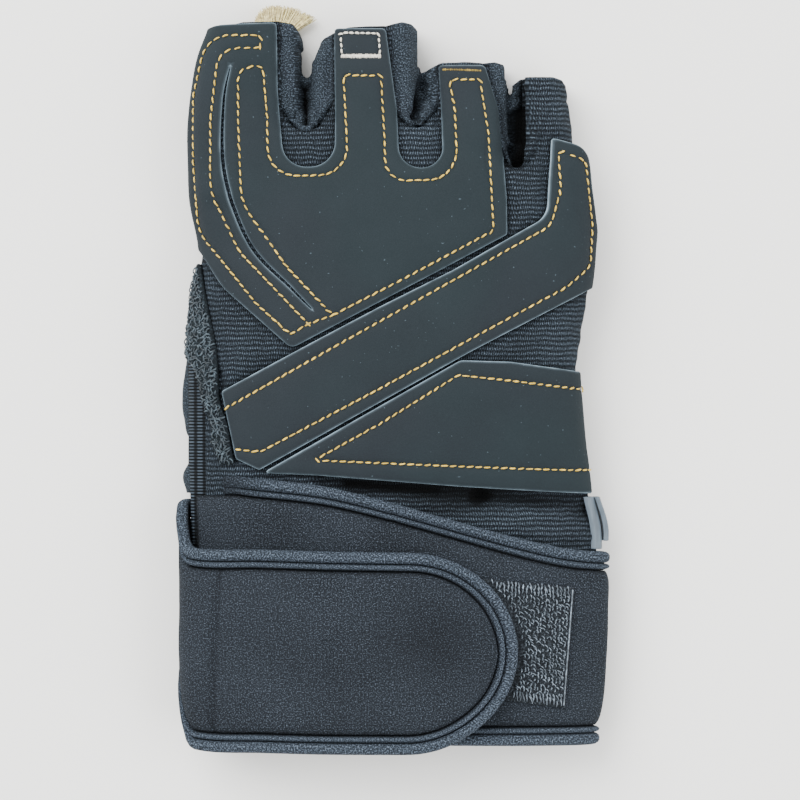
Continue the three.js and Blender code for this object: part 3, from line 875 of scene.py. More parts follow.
class Finish:
    """A material, with short ways to add and join its nodes"""

    def __init__(self, name, roughness, specular):
        self.material = bpy.data.materials.new("glove_" + name)
        self.material.use_nodes = True
        self.tree = self.material.node_tree
        self.shader = self.tree.nodes["Principled BSDF"]
        self.shader.inputs["Roughness"].default_value = roughness
        self.shader.inputs["Specular IOR Level"].default_value = specular

    def node(self, kind, values=None, **settings):
        node = self.tree.nodes.new(kind)
        for key, value in settings.items():
            setattr(node, key, value)
        for key, value in (values or {}).items():
            if isinstance(value, bpy.types.NodeSocket):
                self.tree.links.new(value, node.inputs[key])
            else:
                node.inputs[key].default_value = value
        return node

    def object_place(self):
        return self.node("ShaderNodeTexCoord").outputs["Object"]

    def weave_place(self):
        return self.node("ShaderNodeUVMap", uv_map="weave").outputs["UV"]

    def mark(self, name):
        return self.node("ShaderNodeAttribute", attribute_name=name).outputs["Fac"]

    def math(self, operation, a, b=0.0, c=0.5):
        return self.node("ShaderNodeMath", {0: a, 1: b, 2: c}, operation=operation).outputs[0]

    def noise(self, place, scale, detail=2.0, roughness=0.5):
        values = {"Vector": place, "Scale": scale, "Detail": detail, "Roughness": roughness}
        return self.node("ShaderNodeTexNoise", values).outputs["Fac"]

    def ranged(self, value, low, high, start=0.0, end=1.0):
        values = {0: value, 1: low, 2: high, 3: start, 4: end}
        return self.node("ShaderNodeMapRange", values, clamp=True).outputs[0]

    def waves(self, value, pitch):
        """0 to 1 and back with every pitch"""
        turned = self.math("MULTIPLY", value, 2 * math.pi / pitch)
        return self.math("MULTIPLY_ADD", self.math("SINE", turned), 0.5, 0.5)

    def mix(self, share, a, b):
        node = self.node("ShaderNodeMix", data_type="RGBA")
        for socket, value in ((0, share), (6, a), (7, b)):
            if isinstance(value, bpy.types.NodeSocket):
                self.tree.links.new(value, node.inputs[socket])
            elif socket == 0:
                node.inputs[0].default_value = value
            else:
                node.inputs[socket].default_value = (*value, 1)
        return node.outputs[2]

    def colour(self, socket):
        self.tree.links.new(socket, self.shader.inputs["Base Color"])

    def bump(self, height, distance, strength):
        values = {"Height": height, "Distance": distance, "Strength": strength}
        bump = self.node("ShaderNodeBump", values)
        self.tree.links.new(bump.outputs["Normal"], self.shader.inputs["Normal"])


def times(colour, share):
    return tuple(min(channel * share, 1) for channel in colour)


def ladder_seam(finish):
    """The ladder of stitches down the thumb's side: where it is, and its rungs and posts"""
    own = finish.node("ShaderNodeSeparateXYZ", {0: finish.object_place()})
    rungs = finish.ranged(finish.waves(own.outputs["Y"], 0.00086), 0.2, 0.9)
    posts = finish.ranged(finish.waves(own.outputs["X"], 0.0024), 0.1, 0.6, 0.05, 0.42)
    at_side = finish.ranged(own.outputs["X"], -0.0503, -0.0508)
    below_thumb = finish.ranged(own.outputs["Y"], 0.011, 0.007)
    return finish.math("MULTIPLY", at_side, below_thumb), finish.math("MULTIPLY", rungs, posts)


def knit_finish(colours):
    """Rows of purl loops across the hand, with grey speckle on their crowns; the crowns are painted light and
    the gaps between the loops painted dark
    """
    base = tuple(colours.knit)
    pitch = form().rib_pitch / 1000
    finish = Finish("knit", 0.9, 0.12)
    place = finish.weave_place()
    parts = finish.node("ShaderNodeSeparateXYZ", {0: place})
    swayed = finish.math("MULTIPLY_ADD", finish.noise(place, 170, 1), 0.0011, parts.outputs["Y"])
    ribs = finish.ranged(finish.waves(swayed, pitch), 0.1, 1, 0.18, 1)
    row = finish.math("FLOOR", finish.math("MULTIPLY", swayed, 1 / pitch))
    stagger = finish.math("MULTIPLY", row, pitch * 0.23)
    staggered = finish.math("ADD", parts.outputs["X"], stagger)
    aside = finish.math("MULTIPLY_ADD", finish.noise(place, 260, 1), 0.0009, staggered)
    columns = finish.ranged(finish.waves(aside, pitch * 0.5), 0.2, 0.9, 0.22, 1)
    loops = finish.math("MULTIPLY", ribs, columns)
    speck = finish.ranged(finish.noise(place, 1900, 2, 0.7), 0.4, 0.66, 0.2, 1)
    # Painted highlight on the loops' crowns where the speckle shows; elsewhere the knit is painted dark
    lit = finish.math("MULTIPLY", loops, speck)
    share, ladder = ladder_seam(finish)
    lit = finish.node("ShaderNodeMix", {0: share, 2: lit, 3: ladder}).outputs[0]
    cloud = finish.ranged(finish.noise(place, 45, 2), 0.35, 0.65)
    dark = finish.mix(cloud, times(base, 0.06), times(base, 0.14))
    bright = finish.mix(cloud, times(base, 7), times(base, 10.5))
    # Painted shade: this mark darkens the knit almost to black
    finish.colour(finish.mix(finish.mark("deep"), finish.mix(lit, dark, bright), times(base, 0.05)))
    finish.bump(finish.math("MULTIPLY_ADD", speck, 0.3, loops), 0.0005, 1.0)
    return finish.material


def speckled_finish(row, base):
    """Brushed jersey: a fine crossed weave, painted lighter where its threads cross, with pale specks"""
    finish = Finish(row["name"], 0.88, 0.12)
    place = finish.weave_place() if row["follows"] == "weave" else finish.object_place()
    parts = finish.node("ShaderNodeSeparateXYZ", {0: place})
    warp = finish.waves(parts.outputs["X"], WEAVE_PITCH)
    weft = finish.waves(parts.outputs["Y"], WEAVE_PITCH * 1.15)
    crossed = finish.math("MULTIPLY", finish.math("ADD", warp, weft), 0.5)
    grain = finish.noise(place, 1 / row["speck"], 2, 0.7)
    speck = finish.ranged(grain, row["low"], row["low"] + 0.2)
    soft = finish.ranged(finish.noise(place, 60, 3), 0.3, 0.7)
    body = finish.mix(soft, times(base, 0.55), base)
    # Painted highlight where the weave's threads cross
    woven = finish.mix(finish.math("MULTIPLY", crossed, 0.5), body, times(base, 1.6))
    specked = finish.mix(speck, woven, times(base, row["bright"]))
    # Painted shade: this mark darkens the cloth almost to black
    finish.colour(finish.mix(finish.mark("deep"), specked, times(base, 0.05)))
    finish.bump(finish.math("MULTIPLY_ADD", crossed, 0.4, grain), row["relief"], 0.9)
    return finish.material


def leather_finish(colours):
    """Matte microfibre with a fine nap, pale where it is cut: partly the cut's own colour, partly a painted
    highlight
    """
    base = tuple(colours.leather)
    red, green, blue = base
    finish = Finish("leather", 0.8, 0.16)
    place = finish.object_place()
    nap = finish.noise(place, 2400, 3, 0.6)
    cloud = finish.ranged(finish.noise(place, 55, 4, 0.6), 0.35, 0.68)
    body = finish.mix(cloud, times(base, 0.82), times(base, 1.12))
    cool = finish.ranged(finish.noise(place, 24, 1), 0.4, 0.62)
    warmer = (red * 1.12, green * 0.97, blue * 1.02)
    cooler = (red * 0.9, green * 1.03, blue)
    tinted = finish.mix(0.5, body, finish.mix(cool, warmer, cooler))
    napped = finish.mix(finish.ranged(nap, 0.4, 0.8, 0, 0.22), tinted, times(base, 1.9))
    dust = finish.ranged(finish.noise(place, 1500, 0), 0.83, 0.87)
    dusted = finish.mix(dust, napped, times(base, 4))
    patchy_edge = finish.ranged(finish.noise(place, 260, 2), 0.3, 0.62, 0.45, 1)
    # Pale cut edges, broken up by noise: partly their own colour and partly painted highlight
    pale = finish.math("MULTIPLY", finish.mark("cut_edge"), patchy_edge)
    finish.colour(finish.mix(pale, dusted, tuple(colours.cut_edge)))
    finish.bump(finish.math("ADD", nap, finish.noise(place, 700, 2)), 0.00009, 0.7)
    return finish.material


def facing_finish(colours):
    """Smooth coated cloth, grey-blue"""
    base = tuple(colours.facing)
    finish = Finish("facing", 0.5, 0.4)
    drawn_out = {"Vector": finish.object_place(), "Scale": (900, 120, 900)}
    grain = finish.noise(finish.node("ShaderNodeMapping", drawn_out).outputs["Vector"], 1, 2)
    finish.colour(finish.mix(finish.ranged(grain, 0.3, 0.7), times(base, 0.75), times(base, 1.2)))
    finish.bump(grain, 0.00008, 0.6)
    return finish.material


def thread_finish(row, base):
    """Twisted thread with a soft shine"""
    finish = Finish(row["name"], 0.55, 0.35)
    place = finish.object_place()
    strands = finish.noise(place, 1500, 2)
    tone = finish.ranged(finish.noise(place, 320, 2), 0.3, 0.62)
    body = finish.mix(tone, times(base, row["low"]), times(base, row["high"]))
    finish.colour(finish.mix(finish.ranged(strands, 0.35, 0.7), times(base, row["low"] * 0.8), body))
    finish.bump(strands, 0.00012, 0.7)
    return finish.material


def floor_finish(stage):
    base = tuple(stage.floor)
    finish = Finish("floor", 0.7, 0.2)
    cloud = finish.noise(finish.object_place(), 3, 2)
    finish.colour(finish.mix(cloud, times(base, 0.97), base))
    return finish.material


def finish_named(name):
    """One of the glove's finishes, made when it is first asked for"""
    if ("finish", name) not in WORK:
        WORK["finish", name] = new_finish(name)
    return WORK["finish", name]


# Speckled cloths: a colour and its share, what the weave follows, the size of the specks in metres,
# the noise that they start from, their brightness and the relief in metres
CLOTH_ROWS = table("name colour share follows speck low bright relief", [
    ("stretch", "stretch", 1, "weave", 0.0004, 0.5, 9, 0.0003),
    ("wrap", "wrap", 1, "weave", 0.00034, 0.535, 10, 0.0002),
    ("hem", "hem", 1, "weave", 0.00038, 0.48, 9, 0.0003),
    ("loop_ground", "loops", 0.12, "object", 0.0006, 0.5, 4, 0.0003),
    ("hook_backing", "hooks", 0.05, "object", 0.0005, 0.5, 5, 0.0002),
])

# Threads: a colour and its share, and the shares of it in the dark and bright strands
THREAD_ROWS = table("name colour share low high", [
    ("loops", "loops", 1, 0.35, 1.6),
    ("thread", "thread", 1, 0.62, 1.25),
    ("bar_thread", "thread", 0.42, 0.5, 1.4),
    ("pale_thread", "pale_thread", 1, 0.8, 1.1),
    ("tab", "tab", 1, 0.62, 1.2),
    ("hooks", "hooks", 1, 0.35, 1.5),
])


def new_finish(name):
    colours = bpy.context.scene.glove_colours
    for rows, make in ((CLOTH_ROWS, speckled_finish), (THREAD_ROWS, thread_finish)):
        for row in rows:
            if row["name"] == name:
                return make(row, times(getattr(colours, row["colour"]), row["share"]))
    plain = {"knit": knit_finish, "leather": leather_finish, "facing": facing_finish}
    return plain[name](colours)


# The body


def form():
    if "form" not in WORK:
        WORK["form"] = Form(bpy.context.scene.glove_sizes)
    return WORK["form"]


def body_skin():
    """The outside of the whole body as points in millimetres and faces"""
    if "skin" in WORK:
        return WORK["skin"]
    shape = form()
    start, end = shape.along(HAND_ROWS[0]["along"]) - 6, shape.along(HAND_ROWS[-1]["along"])
    meshes = [capped(shape.loft(HAND_ROWS, BODY_SIDES, 0, start, end, RING_STEP))]
    for rows in FINGER_ROWS.values():
        near, far = shape.along(rows[0]["along"]), shape.along(rows[-1]["along"]) + 7
        meshes.append(capped(shape.loft(rows, FINGER_SIDES, 0, near, far, RING_STEP)))
    for row in ROLL_ROWS:
        meshes.append(roll_of(shape, row))
    points, faces = joined(meshes)
    lump = new_piece("body_form", shape.to_frame(points), faces)
    finish_modifier(lump, "REMESH", mode="VOXEL", voxel_size=VOXEL / 1000)
    finish_modifier(lump, "SMOOTH", factor=0.5, iterations=5)
    skin_points = shape.from_frame(points_of(lump.data))
    normals = normals_of(lump.data)
    y = skin_points[:, 1]
    free = smooth_step((y - shape.along(40)) / 14)
    lengthwise = ripples(skin_points * (1, 0.7, 1), 26, 4)
    skin_points += normals * (0.7 * lengthwise * free)[:, None]
    skin_points[:, 2] = np.maximum(skin_points[:, 2], 0)
    skin_faces = [tuple(polygon.vertices) for polygon in lump.data.polygons]
    bpy.data.objects.remove(lump)
    WORK["skin"] = (skin_points, normals, skin_faces)
    return WORK["skin"]


def roll_of(shape, row):
    """A round lump of cloth between two fingers"""
    centre = np.array((shape.across(row["x"]), shape.along(row["along"]), row["height"]))
    radii = np.array((row["wide"], row["long"], row["high"]))
    rings = []
    for step in range(1, 12):
        turn = math.pi * step / 12
        ring = []
        for side in range(16):
            angle = 2 * math.pi * side / 16
            away = (math.sin(turn) * math.cos(angle), -math.cos(turn), -math.sin(turn) * math.sin(angle))
            ring.append(tuple(centre + radii * away))
        rings.append(ring)
    return capped(rings)


class PalmSheet:
    """The palm side as an even grid of points, which the overlays are laid on"""

    STEP = 1.2

    def __init__(self, shape, tree):
        self.shape = shape
        turns = np.linspace(math.pi, 0, 721)
        x = shape.width * 0.46 * signed_power(np.cos(turns), 2 / UPPER_SQUARENESS)
        z = shape.height * 0.5 * np.sin(turns)
        reach = np.concatenate([[0], np.cumsum(np.hypot(np.diff(x), np.diff(z)))])
        reach -= reach[-1] / 2
        self.s = np.arange(reach[0] + 0.4, reach[-1] - 0.4, self.STEP)
        self.turns = np.interp(self.s, reach, turns)
        self.y = np.arange(shape.along(34), shape.along(102.4), self.STEP)
        self.places, self.seen = self.cast(tree)
        self.spread()
        self.settle()
        self.normals = self.upward()
        self.sides = {}

    def cast(self, tree):
        shape = self.shape
        places = np.zeros((len(self.y), len(self.s), 3))
        seen = np.zeros(places.shape[:2], bool)
        for i, y in enumerate(self.y):
            row = row_at(SHEET_ROWS, y / shape.length * 100)
            for j, turn in enumerate(self.turns):
                far_x, far_z = shape.section_point(row, 12, turn)
                near_x, near_z = shape.section_point(row, 0, turn)
                way = Vector((near_x - far_x, 0, near_z - far_z)).normalized()
                hit = tree.ray_cast(Vector((far_x, y, far_z)), way, 16.5)[0]
                places[i, j] = (near_x, y, near_z)
                if hit is not None:
                    places[i, j] = hit
                    seen[i, j] = True
        return places, seen

    def spread(self):
        """Widens the right shoulder, where the leather stands out past the knit"""
        shape = self.shape
        alongs = [shape.along(share) for share in (69, 73, 78, 82, 86, 90)]
        wider = np.interp(self.y, alongs, (0, 0.9, 2.4, 3.6, 3.8, 3.8))
        near = smooth_step((self.places[..., 0] - shape.across(28)) / shape.across(13))
        self.places[..., 0] += wider[:, None] * near

    def settle(self):
        """Fills what was missed from its neighbours and evens out small dents"""
        weights = self.seen.astype(float)
        for _ in range(12):
            total = np.zeros_like(self.places)
            share = np.zeros_like(weights)
            for axis, turn in ((0, 1), (0, -1), (1, 1), (1, -1)):
                total += np.roll(self.places * weights[..., None], turn, axis)
                share += np.roll(weights, turn, axis)
            missed = (weights == 0) & (share > 0)
            filled = total[missed] / share[missed][:, None]
            filled[:, 1] = self.places[missed][:, 1]
            self.places[missed] = filled
            weights[missed] = 0.02
        for _ in range(4):
            padded = np.pad(self.places, ((1, 1), (1, 1), (0, 0)), mode="edge")
            heavy = np.pad(weights, 1, mode="edge")
            total = self.places * 2
            share = np.full_like(weights, 2.0)
            for di, dj in ((0, 1), (2, 1), (1, 0), (1, 2)):
                part = heavy[di : di + weights.shape[0], dj : dj + weights.shape[1]]
                near = padded[di : di + weights.shape[0], dj : dj + weights.shape[1]]
                total += near * part[..., None]
                share += part
            evened = total / share[..., None]
            evened[0], evened[-1] = self.places[0], self.places[-1]
            evened[:, 0], evened[:, -1] = self.places[:, 0], self.places[:, -1]
            evened[..., 1] = self.places[..., 1]
            self.places = evened

    def upward(self):
        by_y, by_s = np.gradient(self.places, axis=(0, 1))[:2]
        normals = np.cross(by_s, by_y)
        return normals / np.linalg.norm(normals, axis=2)[..., None]

    def cell(self, s, y):
        i = np.clip((y - self.y[0]) / self.STEP, 0, len(self.y) - 1.001)
        j = np.clip((s - self.s[0]) / self.STEP, 0, len(self.s) - 1.001)
        return i, j

    def sample(self, grid, s, y):
        i, j = self.cell(np.asarray(s), np.asarray(y))
        i0, j0 = i.astype(int), j.astype(int)
        u, v = (i - i0)[..., None], (j - j0)[..., None]
        near = grid[i0, j0] * (1 - v) + grid[i0, j0 + 1] * v
        far = grid[i0 + 1, j0] * (1 - v) + grid[i0 + 1, j0 + 1] * v
        return near * (1 - u) + far * u

    def lay(self, s, y, height):
        """Places at a height over the palm side, and the way up there"""
        base = self.sample(self.places, s, y)
        up = self.sample(self.normals, s, y)
        up /= np.linalg.norm(up, axis=-1)[..., None]
        return base + up * np.asarray(height)[..., None], up

    def flattened(self, points, height):
        """Plan view points as lengths over the palm side, held above the side seam"""
        if height not in self.sides:
            self.sides[height] = self.side_lines(height)
        xs, low, high = self.sides[height]
        result = []
        for x, y in points:
            row = float(self.cell(0.0, y)[0])
            at = int(row)
            here = np.interp(x, xs[at], self.s)
            there = np.interp(x, xs[at + 1], self.s)
            s = here + (there - here) * (row - at)
            s = max(s, np.interp(y, self.y, low))
            result.append((min(s, np.interp(y, self.y, high)), y))
        return np.array(result)

    def side_lines(self, height):
        """Where each row of the raised grid lies in the plan view, and where it meets the seam"""
        lines = self.places + self.normals * height
        floor = self.shape.seam + self.shape.gap
        low, high = [], []
        for line in lines:
            above = np.nonzero(line[:, 2] >= floor)[0]
            first, last = above[0], above[-1]
            edges = []
            for near, far in ((first, max(first - 1, 0)), (last, min(last + 1, len(self.s) - 1))):
                drop = line[near, 2] - line[far, 2]
                share = (line[near, 2] - floor) / drop if drop > 0.01 else 0
                edges.append(self.s[near] + (self.s[far] - self.s[near]) * min(share, 1))
            low.append(edges[0])
            high.append(edges[1])
        window = np.ones(9) / 9
        low, high = (np.convolve(np.pad(side, 4, mode="edge"), window, "valid") for side in (low, high))
        xs = np.maximum.accumulate(lines[..., 0], axis=1) + np.arange(lines.shape[1]) * 1e-6
        return xs, low, high


def palm_sheet():
    if "sheet" not in WORK:
        points, _, faces = body_skin()
        tree = BVHTree.FromPolygons([tuple(point) for point in points], faces)
        WORK["sheet"] = PalmSheet(form(), tree)
    return WORK["sheet"]


def arc_distance(shape, row, plan):
    """How far points lie past the seam's arc at the bottom of a gap"""
    apart = plan[:, 0] - shape.across(row["x"])
    slope = 2 * row["rise"] * apart
    return (plan[:, 1] - shape.along(row["along"]) - row["rise"] * apart**2) / np.sqrt(1 + slope**2)


def fold_heights(shape, plan):
    """Height of the folds in the palm side's knit"""
    height = np.zeros(len(plan))
    for row in FOLD_ROWS:
        ends = (shape.place(row["x"], row["along"]), shape.place(row["to_x"], row["to_along"]))
        away, _ = distance_to(plan, [np.array(ends)])
        height += row["high"] * ridge(away, row["wide"])
    return height


def gap_heights(shape, plan):
    """Height of the valleys between the fingers and of the rolled seams at their bottoms"""
    height = np.zeros(len(plan))
    for row in FOURCHETTE_ROWS:
        bottom = shape.place(row["x"], row["along"]) + (0, 2.4)
        top = [shape.place(row["top_x"], row["top"] + share) for share in (6, -3)]
        away, _ = distance_to(plan, [np.array([*top, bottom])])
        height -= row["depth"] * ridge(away, row["wide"])
        past = arc_distance(shape, row, plan)
        roll = 1.2 * ridge(past - 1.2, 0.8) - 1.1 * ridge(past, 0.55)
        height += roll * plateau(plan[:, 0] - shape.across(row["x"]), 6.5)
    return height


def tip_hems(shape, plan):
    """Height of the hem at each finger's tip and of the dent behind it"""
    tips = np.full(len(plan), 1e9)
    for rows in FINGER_ROWS.values():
        tip = shape.along(rows[-1]["along"])
        left, right = shape.across(rows[-1]["left"]) - 2, shape.across(rows[-1]["right"]) + 2
        here = (plan[:, 0] > left) & (plan[:, 0] < right)
        tips = np.where(here, np.minimum(tips, np.abs(tip - plan[:, 1])), tips)
    return 0.35 * ridge(tips - 2, 1.6) - 0.25 * ridge(tips - 5, 0.9)


def heel_shade(shape, plan):
    """Shade in the knit below the heel pad, widest and darkest in the middle"""
    below, _ = distance_to(plan, [closed_line(shape.outline(HEEL_PAD_ROWS))])
    middle = plateau(plan[:, 0] - shape.across(14), shape.across(19))
    reach = 1.6 + 5 * middle
    shade = 0.9 * (1 - smooth_step((below - reach * 0.35) / reach)) * (0.35 + 0.65 * middle)
    return np.where((plan[:, 1] < shape.along(38.5)) & (plan[:, 0] < shape.across(45)), shade, 0)


def knit_points():
    """The skin with the folds of the knit, drawn in under the overlays, and the painted shade at each point
    """
    shape = form()
    points, normals, faces = body_skin()
    plan = points[:, :2]
    up = points[:, 2] > shape.seam
    outlines = [shape.outline(rows) for rows in (PALM_PAD_ROWS, CROSS_BAND_ROWS, HEEL_PAD_ROWS)]
    covered = np.any([inside(plan, outline) for outline in outlines], axis=0)
    bare = up & ~covered
    edge, _ = distance_to(plan, [closed_line(outline) for outline in outlines])
    puff = 0.55 * smooth_step((edge - 0.6) / 3.2)
    height = np.where(bare, puff, np.where(up & covered, -0.15, 0))
    height *= np.where(plan[:, 1] < shape.along(39), 0.3, 1)
    height += np.where(bare, fold_heights(shape, plan), 0)
    height += np.where(up, gap_heights(shape, plan), 0)
    loose = np.where(bare, smooth_step((edge - 0.3) / 2), 0)
    back = ~up & (points[:, 2] > 1.5)
    height += 0.22 * ripples(points, 5.5, 9) * np.where(back, 0.8, loose)
    height += np.where(up & covered, 0, tip_hems(shape, plan))
    moved = points + normals * height[:, None]
    moved[:, 2] = np.maximum(moved[:, 2], np.minimum(points[:, 2], 3.0))
    # Painted shade: darker in the folds' valleys, below the heel pad and along the overlays' edges
    rim = 0.55 * (1 - smooth_step((edge - 0.2) / 0.9))
    shades = (np.clip(-height / 2.4, 0, 1), heel_shade(shape, plan), rim)
    return moved, faces, np.where(bare, np.max(shades, axis=0), 0)


def skin_uvs(shape, points):
    """Place in the cloth, in metres: round the hand and along it"""
    uvs = []
    for x, y, z in points:
        row = row_at(HAND_ROWS, y / shape.length * 100)
        middle, _ = shape.span(row)
        top = row["top"] * shape.height
        down = max(top - z, 0) if z > shape.seam else max(z, 0)
        uvs.append(((x + math.tanh((x - middle) / 25) * down) / 1000, y / 1000))
    return uvs


def bisect(mesh, place, normal, near=None, **clear):
    faces = mesh.faces[:]
    if near is not None:
        faces = [face for face in faces if in_box(face, *near)]
    edges = {edge for face in faces for edge in face.edges}
    verts = {vert for face in faces for vert in face.verts}
    parts = [*verts, *edges, *faces]
    bmesh.ops.bisect_plane(mesh, geom=parts, plane_co=place, plane_no=normal, dist=1e-6, **clear)


def in_box(face, low, high):
    centre = face.calc_center_median()
    return all(low[k] < centre[k] < high[k] for k in range(3))


def past_arc(shape, row, face):
    centre = shape.from_frame(face.calc_center_median())
    return arc_distance(shape, row, centre[None, :2])[0] > 0


def snap_to_arc(mesh, shape, row):
    """Moves the cut's ragged edge onto the seam's arc"""
    low, high = fourchette_box(shape, row, -0.5)
    for vert in mesh.verts:
        if not vert.is_boundary or not all(low[k] < vert.co[k] < high[k] for k in range(3)):
            continue
        place = shape.from_frame(vert.co)
        for _ in range(3):
            past = arc_distance(shape, row, place[None, :2])[0]
            slope = 2 * row["rise"] * (place[0] - shape.across(row["x"]))
            steep = math.hypot(1, slope)
            place = place - np.array((-slope / steep, 1 / steep, 0)) * past
        if np.linalg.norm(shape.to_frame(place) - np.array(vert.co)) < 0.0012:
            vert.co = shape.to_frame(place)


def drop_box(mesh, low, high, wanted=None):
    """Cuts a box out of an open skin, or the part of it that is wanted"""
    margin = Vector((0.004, 0.004, 0.004))
    near = (Vector(low) - margin, Vector(high) + margin)
    for axis in AXES:
        for bound in (low, high):
            bisect(mesh, bound, axis, near)
    inner = [face for face in mesh.faces if in_box(face, low, high) and (not wanted or wanted(face))]
    bmesh.ops.delete(mesh, geom=inner, context="FACES")


def keep_box(mesh, low, high):
    for axis in AXES:
        bisect(mesh, low, axis, clear_inner=True)
        bisect(mesh, high, axis, clear_outer=True)


def panel(name, trim, finish_name):
    """A piece of the body's skin, trimmed and given its wall"""
    shape = form()
    if "knit" not in WORK:
        WORK["knit"] = knit_points()
    points, faces, deep = WORK["knit"]
    finish = finish_named(finish_name)
    # The mark carries the knit's painted shade
    piece = new_piece(name, shape.to_frame(points), faces, finish, marks={"deep": deep})
    mesh = bmesh.new()
    mesh.from_mesh(piece.data)
    trim(mesh)
    bmesh.ops.remove_doubles(mesh, verts=mesh.verts, dist=2e-5)
    loose = [vert for vert in mesh.verts if not vert.link_faces]
    bmesh.ops.delete(mesh, geom=loose, context="VERTS")
    mesh.to_mesh(piece.data)
    mesh.free()
    shaped = shape_tips(shape, shape.from_frame(points_of(piece.data)))
    set_points(piece.data, shape.to_frame(shaped))
    set_weave(piece.data, skin_uvs(shape, shape.from_frame(points_of(piece.data))))
    wall = shape.knit_wall / 1000
    finish_modifier(piece, "SOLIDIFY", thickness=wall, offset=-1, use_even_offset=False)
    return piece


def shape_tips(shape, points):
    """Pulls the cut ends of the fingers into their slightly uneven, rounded outline"""
    for name, rows in FINGER_ROWS.items():
        tip = shape.along(rows[-1]["along"])
        left = shape.across(min(row["left"] for row in rows)) - 1
        right = shape.across(max(row["right"] for row in rows)) + 1
        places = [shape.across(place) for place, _ in TIP_ROWS[name]]
        reach = np.interp(points[:, 0], places, [value for _, value in TIP_ROWS[name]])
        near = smooth_step((points[:, 1] - tip + 11) / 11)
        here = (points[:, 0] > left) & (points[:, 0] < right) & (points[:, 1] < tip + 2.5)
        points[:, 1] += np.where(here, reach * near, 0)
    return points


def place_cut(shape, y, z):
    return tuple(shape.to_frame((0, y, z)))


def fourchette_box(shape, row, margin):
    low = (
        shape.across(row["left"]) - margin,
        shape.along(row["start"]) - margin,
        FOURCHETTE_FLOOR * shape.height - margin,
    )
    high = (shape.across(row["right"]) + margin, shape.length * 1.2, shape.height * 2)
    return shape.to_frame(low), shape.to_frame(high)


def open_ends(mesh, shape):
    """Cuts the skin off at the wrist and at each finger's tip"""
    bisect(mesh, place_cut(shape, shape.along(2.5), 0), (0, 1, 0), clear_inner=True)
    for rows in FINGER_ROWS.values():
        tip = shape.along(rows[-1]["along"])
        left = shape.across(rows[-1]["left"]) - 1.7
        right = shape.across(rows[-1]["right"]) + 1.7
        far_corner = shape.to_frame((right, tip + 12, shape.height * 2))
        drop_box(mesh, shape.to_frame((left, tip, -5)), far_corner)


def sewn(piece, node):
    """Rides on the glove and stands for its node"""
    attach(piece, "root")
    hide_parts(node)


def added(name, points, faces, finish_name, slot):
    """Thread, loops or hooks: a piece that rides on the glove and stands for no node"""
    piece = new_piece(name, form().to_frame(points), faces, finish_named(finish_name))
    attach(piece, "root")
    return piece


def drop_fourchettes(mesh, shape):
    for row in FOURCHETTE_ROWS:
        low, high = fourchette_box(shape, row, 0.005)
        drop_box(mesh, low, high, lambda face, row=row: past_arc(shape, row, face))
        snap_to_arc(mesh, shape, row)


def half_body(name, height, **side):
    """The knit on one side of a height, open at the wrist and the finger tips"""
    shape = form()

    def trim(mesh):
        bisect(mesh, place_cut(shape, 0, height), (0, 0, 1), **side)
        open_ends(mesh, shape)
        drop_fourchettes(mesh, shape)

    return panel(name, trim, "knit")


def build_palm_panel():
    shape = form()
    piece = half_body("glove_palm_panel", shape.seam + shape.gap / 2, clear_inner=True)
    sewn(piece, "palm_panel")


def build_back_panel():
    shape = form()
    piece = half_body("glove_back_panel", shape.seam - shape.gap / 2, clear_outer=True)
    near, far = shape.along(THUMB_ROWS[0]["along"]), shape.along(THUMB_ROWS[-1]["along"])
    points, faces = capped(shape.loft(THUMB_ROWS, 40, shape.gap, near - shape.gap, far + shape.gap, 2))
    cutter = new_piece("stall_room", shape.to_frame(points), faces)
    finish_modifier(piece, "BOOLEAN", operation="DIFFERENCE", object=cutter, solver="EXACT")
    bpy.data.objects.remove(cutter)
    sewn(piece, "back_panel")


def build_fourchettes():
    shape = form()
    for row in FOURCHETTE_ROWS:
        def trim(mesh, row=row):
            open_ends(mesh, shape)
            keep_box(mesh, *fourchette_box(shape, row, -0.005))
            below = [face for face in mesh.faces if not past_arc(shape, row, face)]
            bmesh.ops.delete(mesh, geom=below, context="FACES")
            snap_to_arc(mesh, shape, row)

        piece = panel("glove_" + row["name"], trim, "stretch")
        sewn(piece, row["name"])


def one_face(piece):
    """Area of one face of a thin piece, in square millimetres"""
    return sum(polygon.area for polygon in piece.data.polygons) / 2 * 1e6


def build_thumb_stall():
    shape = form()
    near, far = shape.along(THUMB_ROWS[0]["along"]), shape.along(THUMB_ROWS[-1]["along"])
    rings = shape.loft(THUMB_ROWS, 72, 0, near, far, 0.8)
    sides = len(rings[0])
    points = np.array(rings).reshape(-1, 3)
    faces = ring_faces(len(rings), sides)
    uvs = [(at % sides * 0.0007, point[1] / 1000) for at, point in enumerate(points)]
    piece = new_piece("glove_thumb_stall", shape.to_frame(points), faces, finish_named("stretch"), uvs)
    points = shape.from_frame(points_of(piece.data))
    folds = 0.45 * ripples(points * (0.5, 1, 1), 5, 3) + 0.15 * ripples(points, 2.4, 6) + 0.35
    points += normals_of(piece.data) * folds[:, None]
    points[:, 2] = np.maximum(points[:, 2], 0)
    set_points(piece.data, shape.to_frame(points))
    finish_modifier(piece, "SOLIDIFY", thickness=shape.knit_wall / 1000 * 0.8, offset=-1)
    sewn(piece, "thumb_stall")


# Overlays


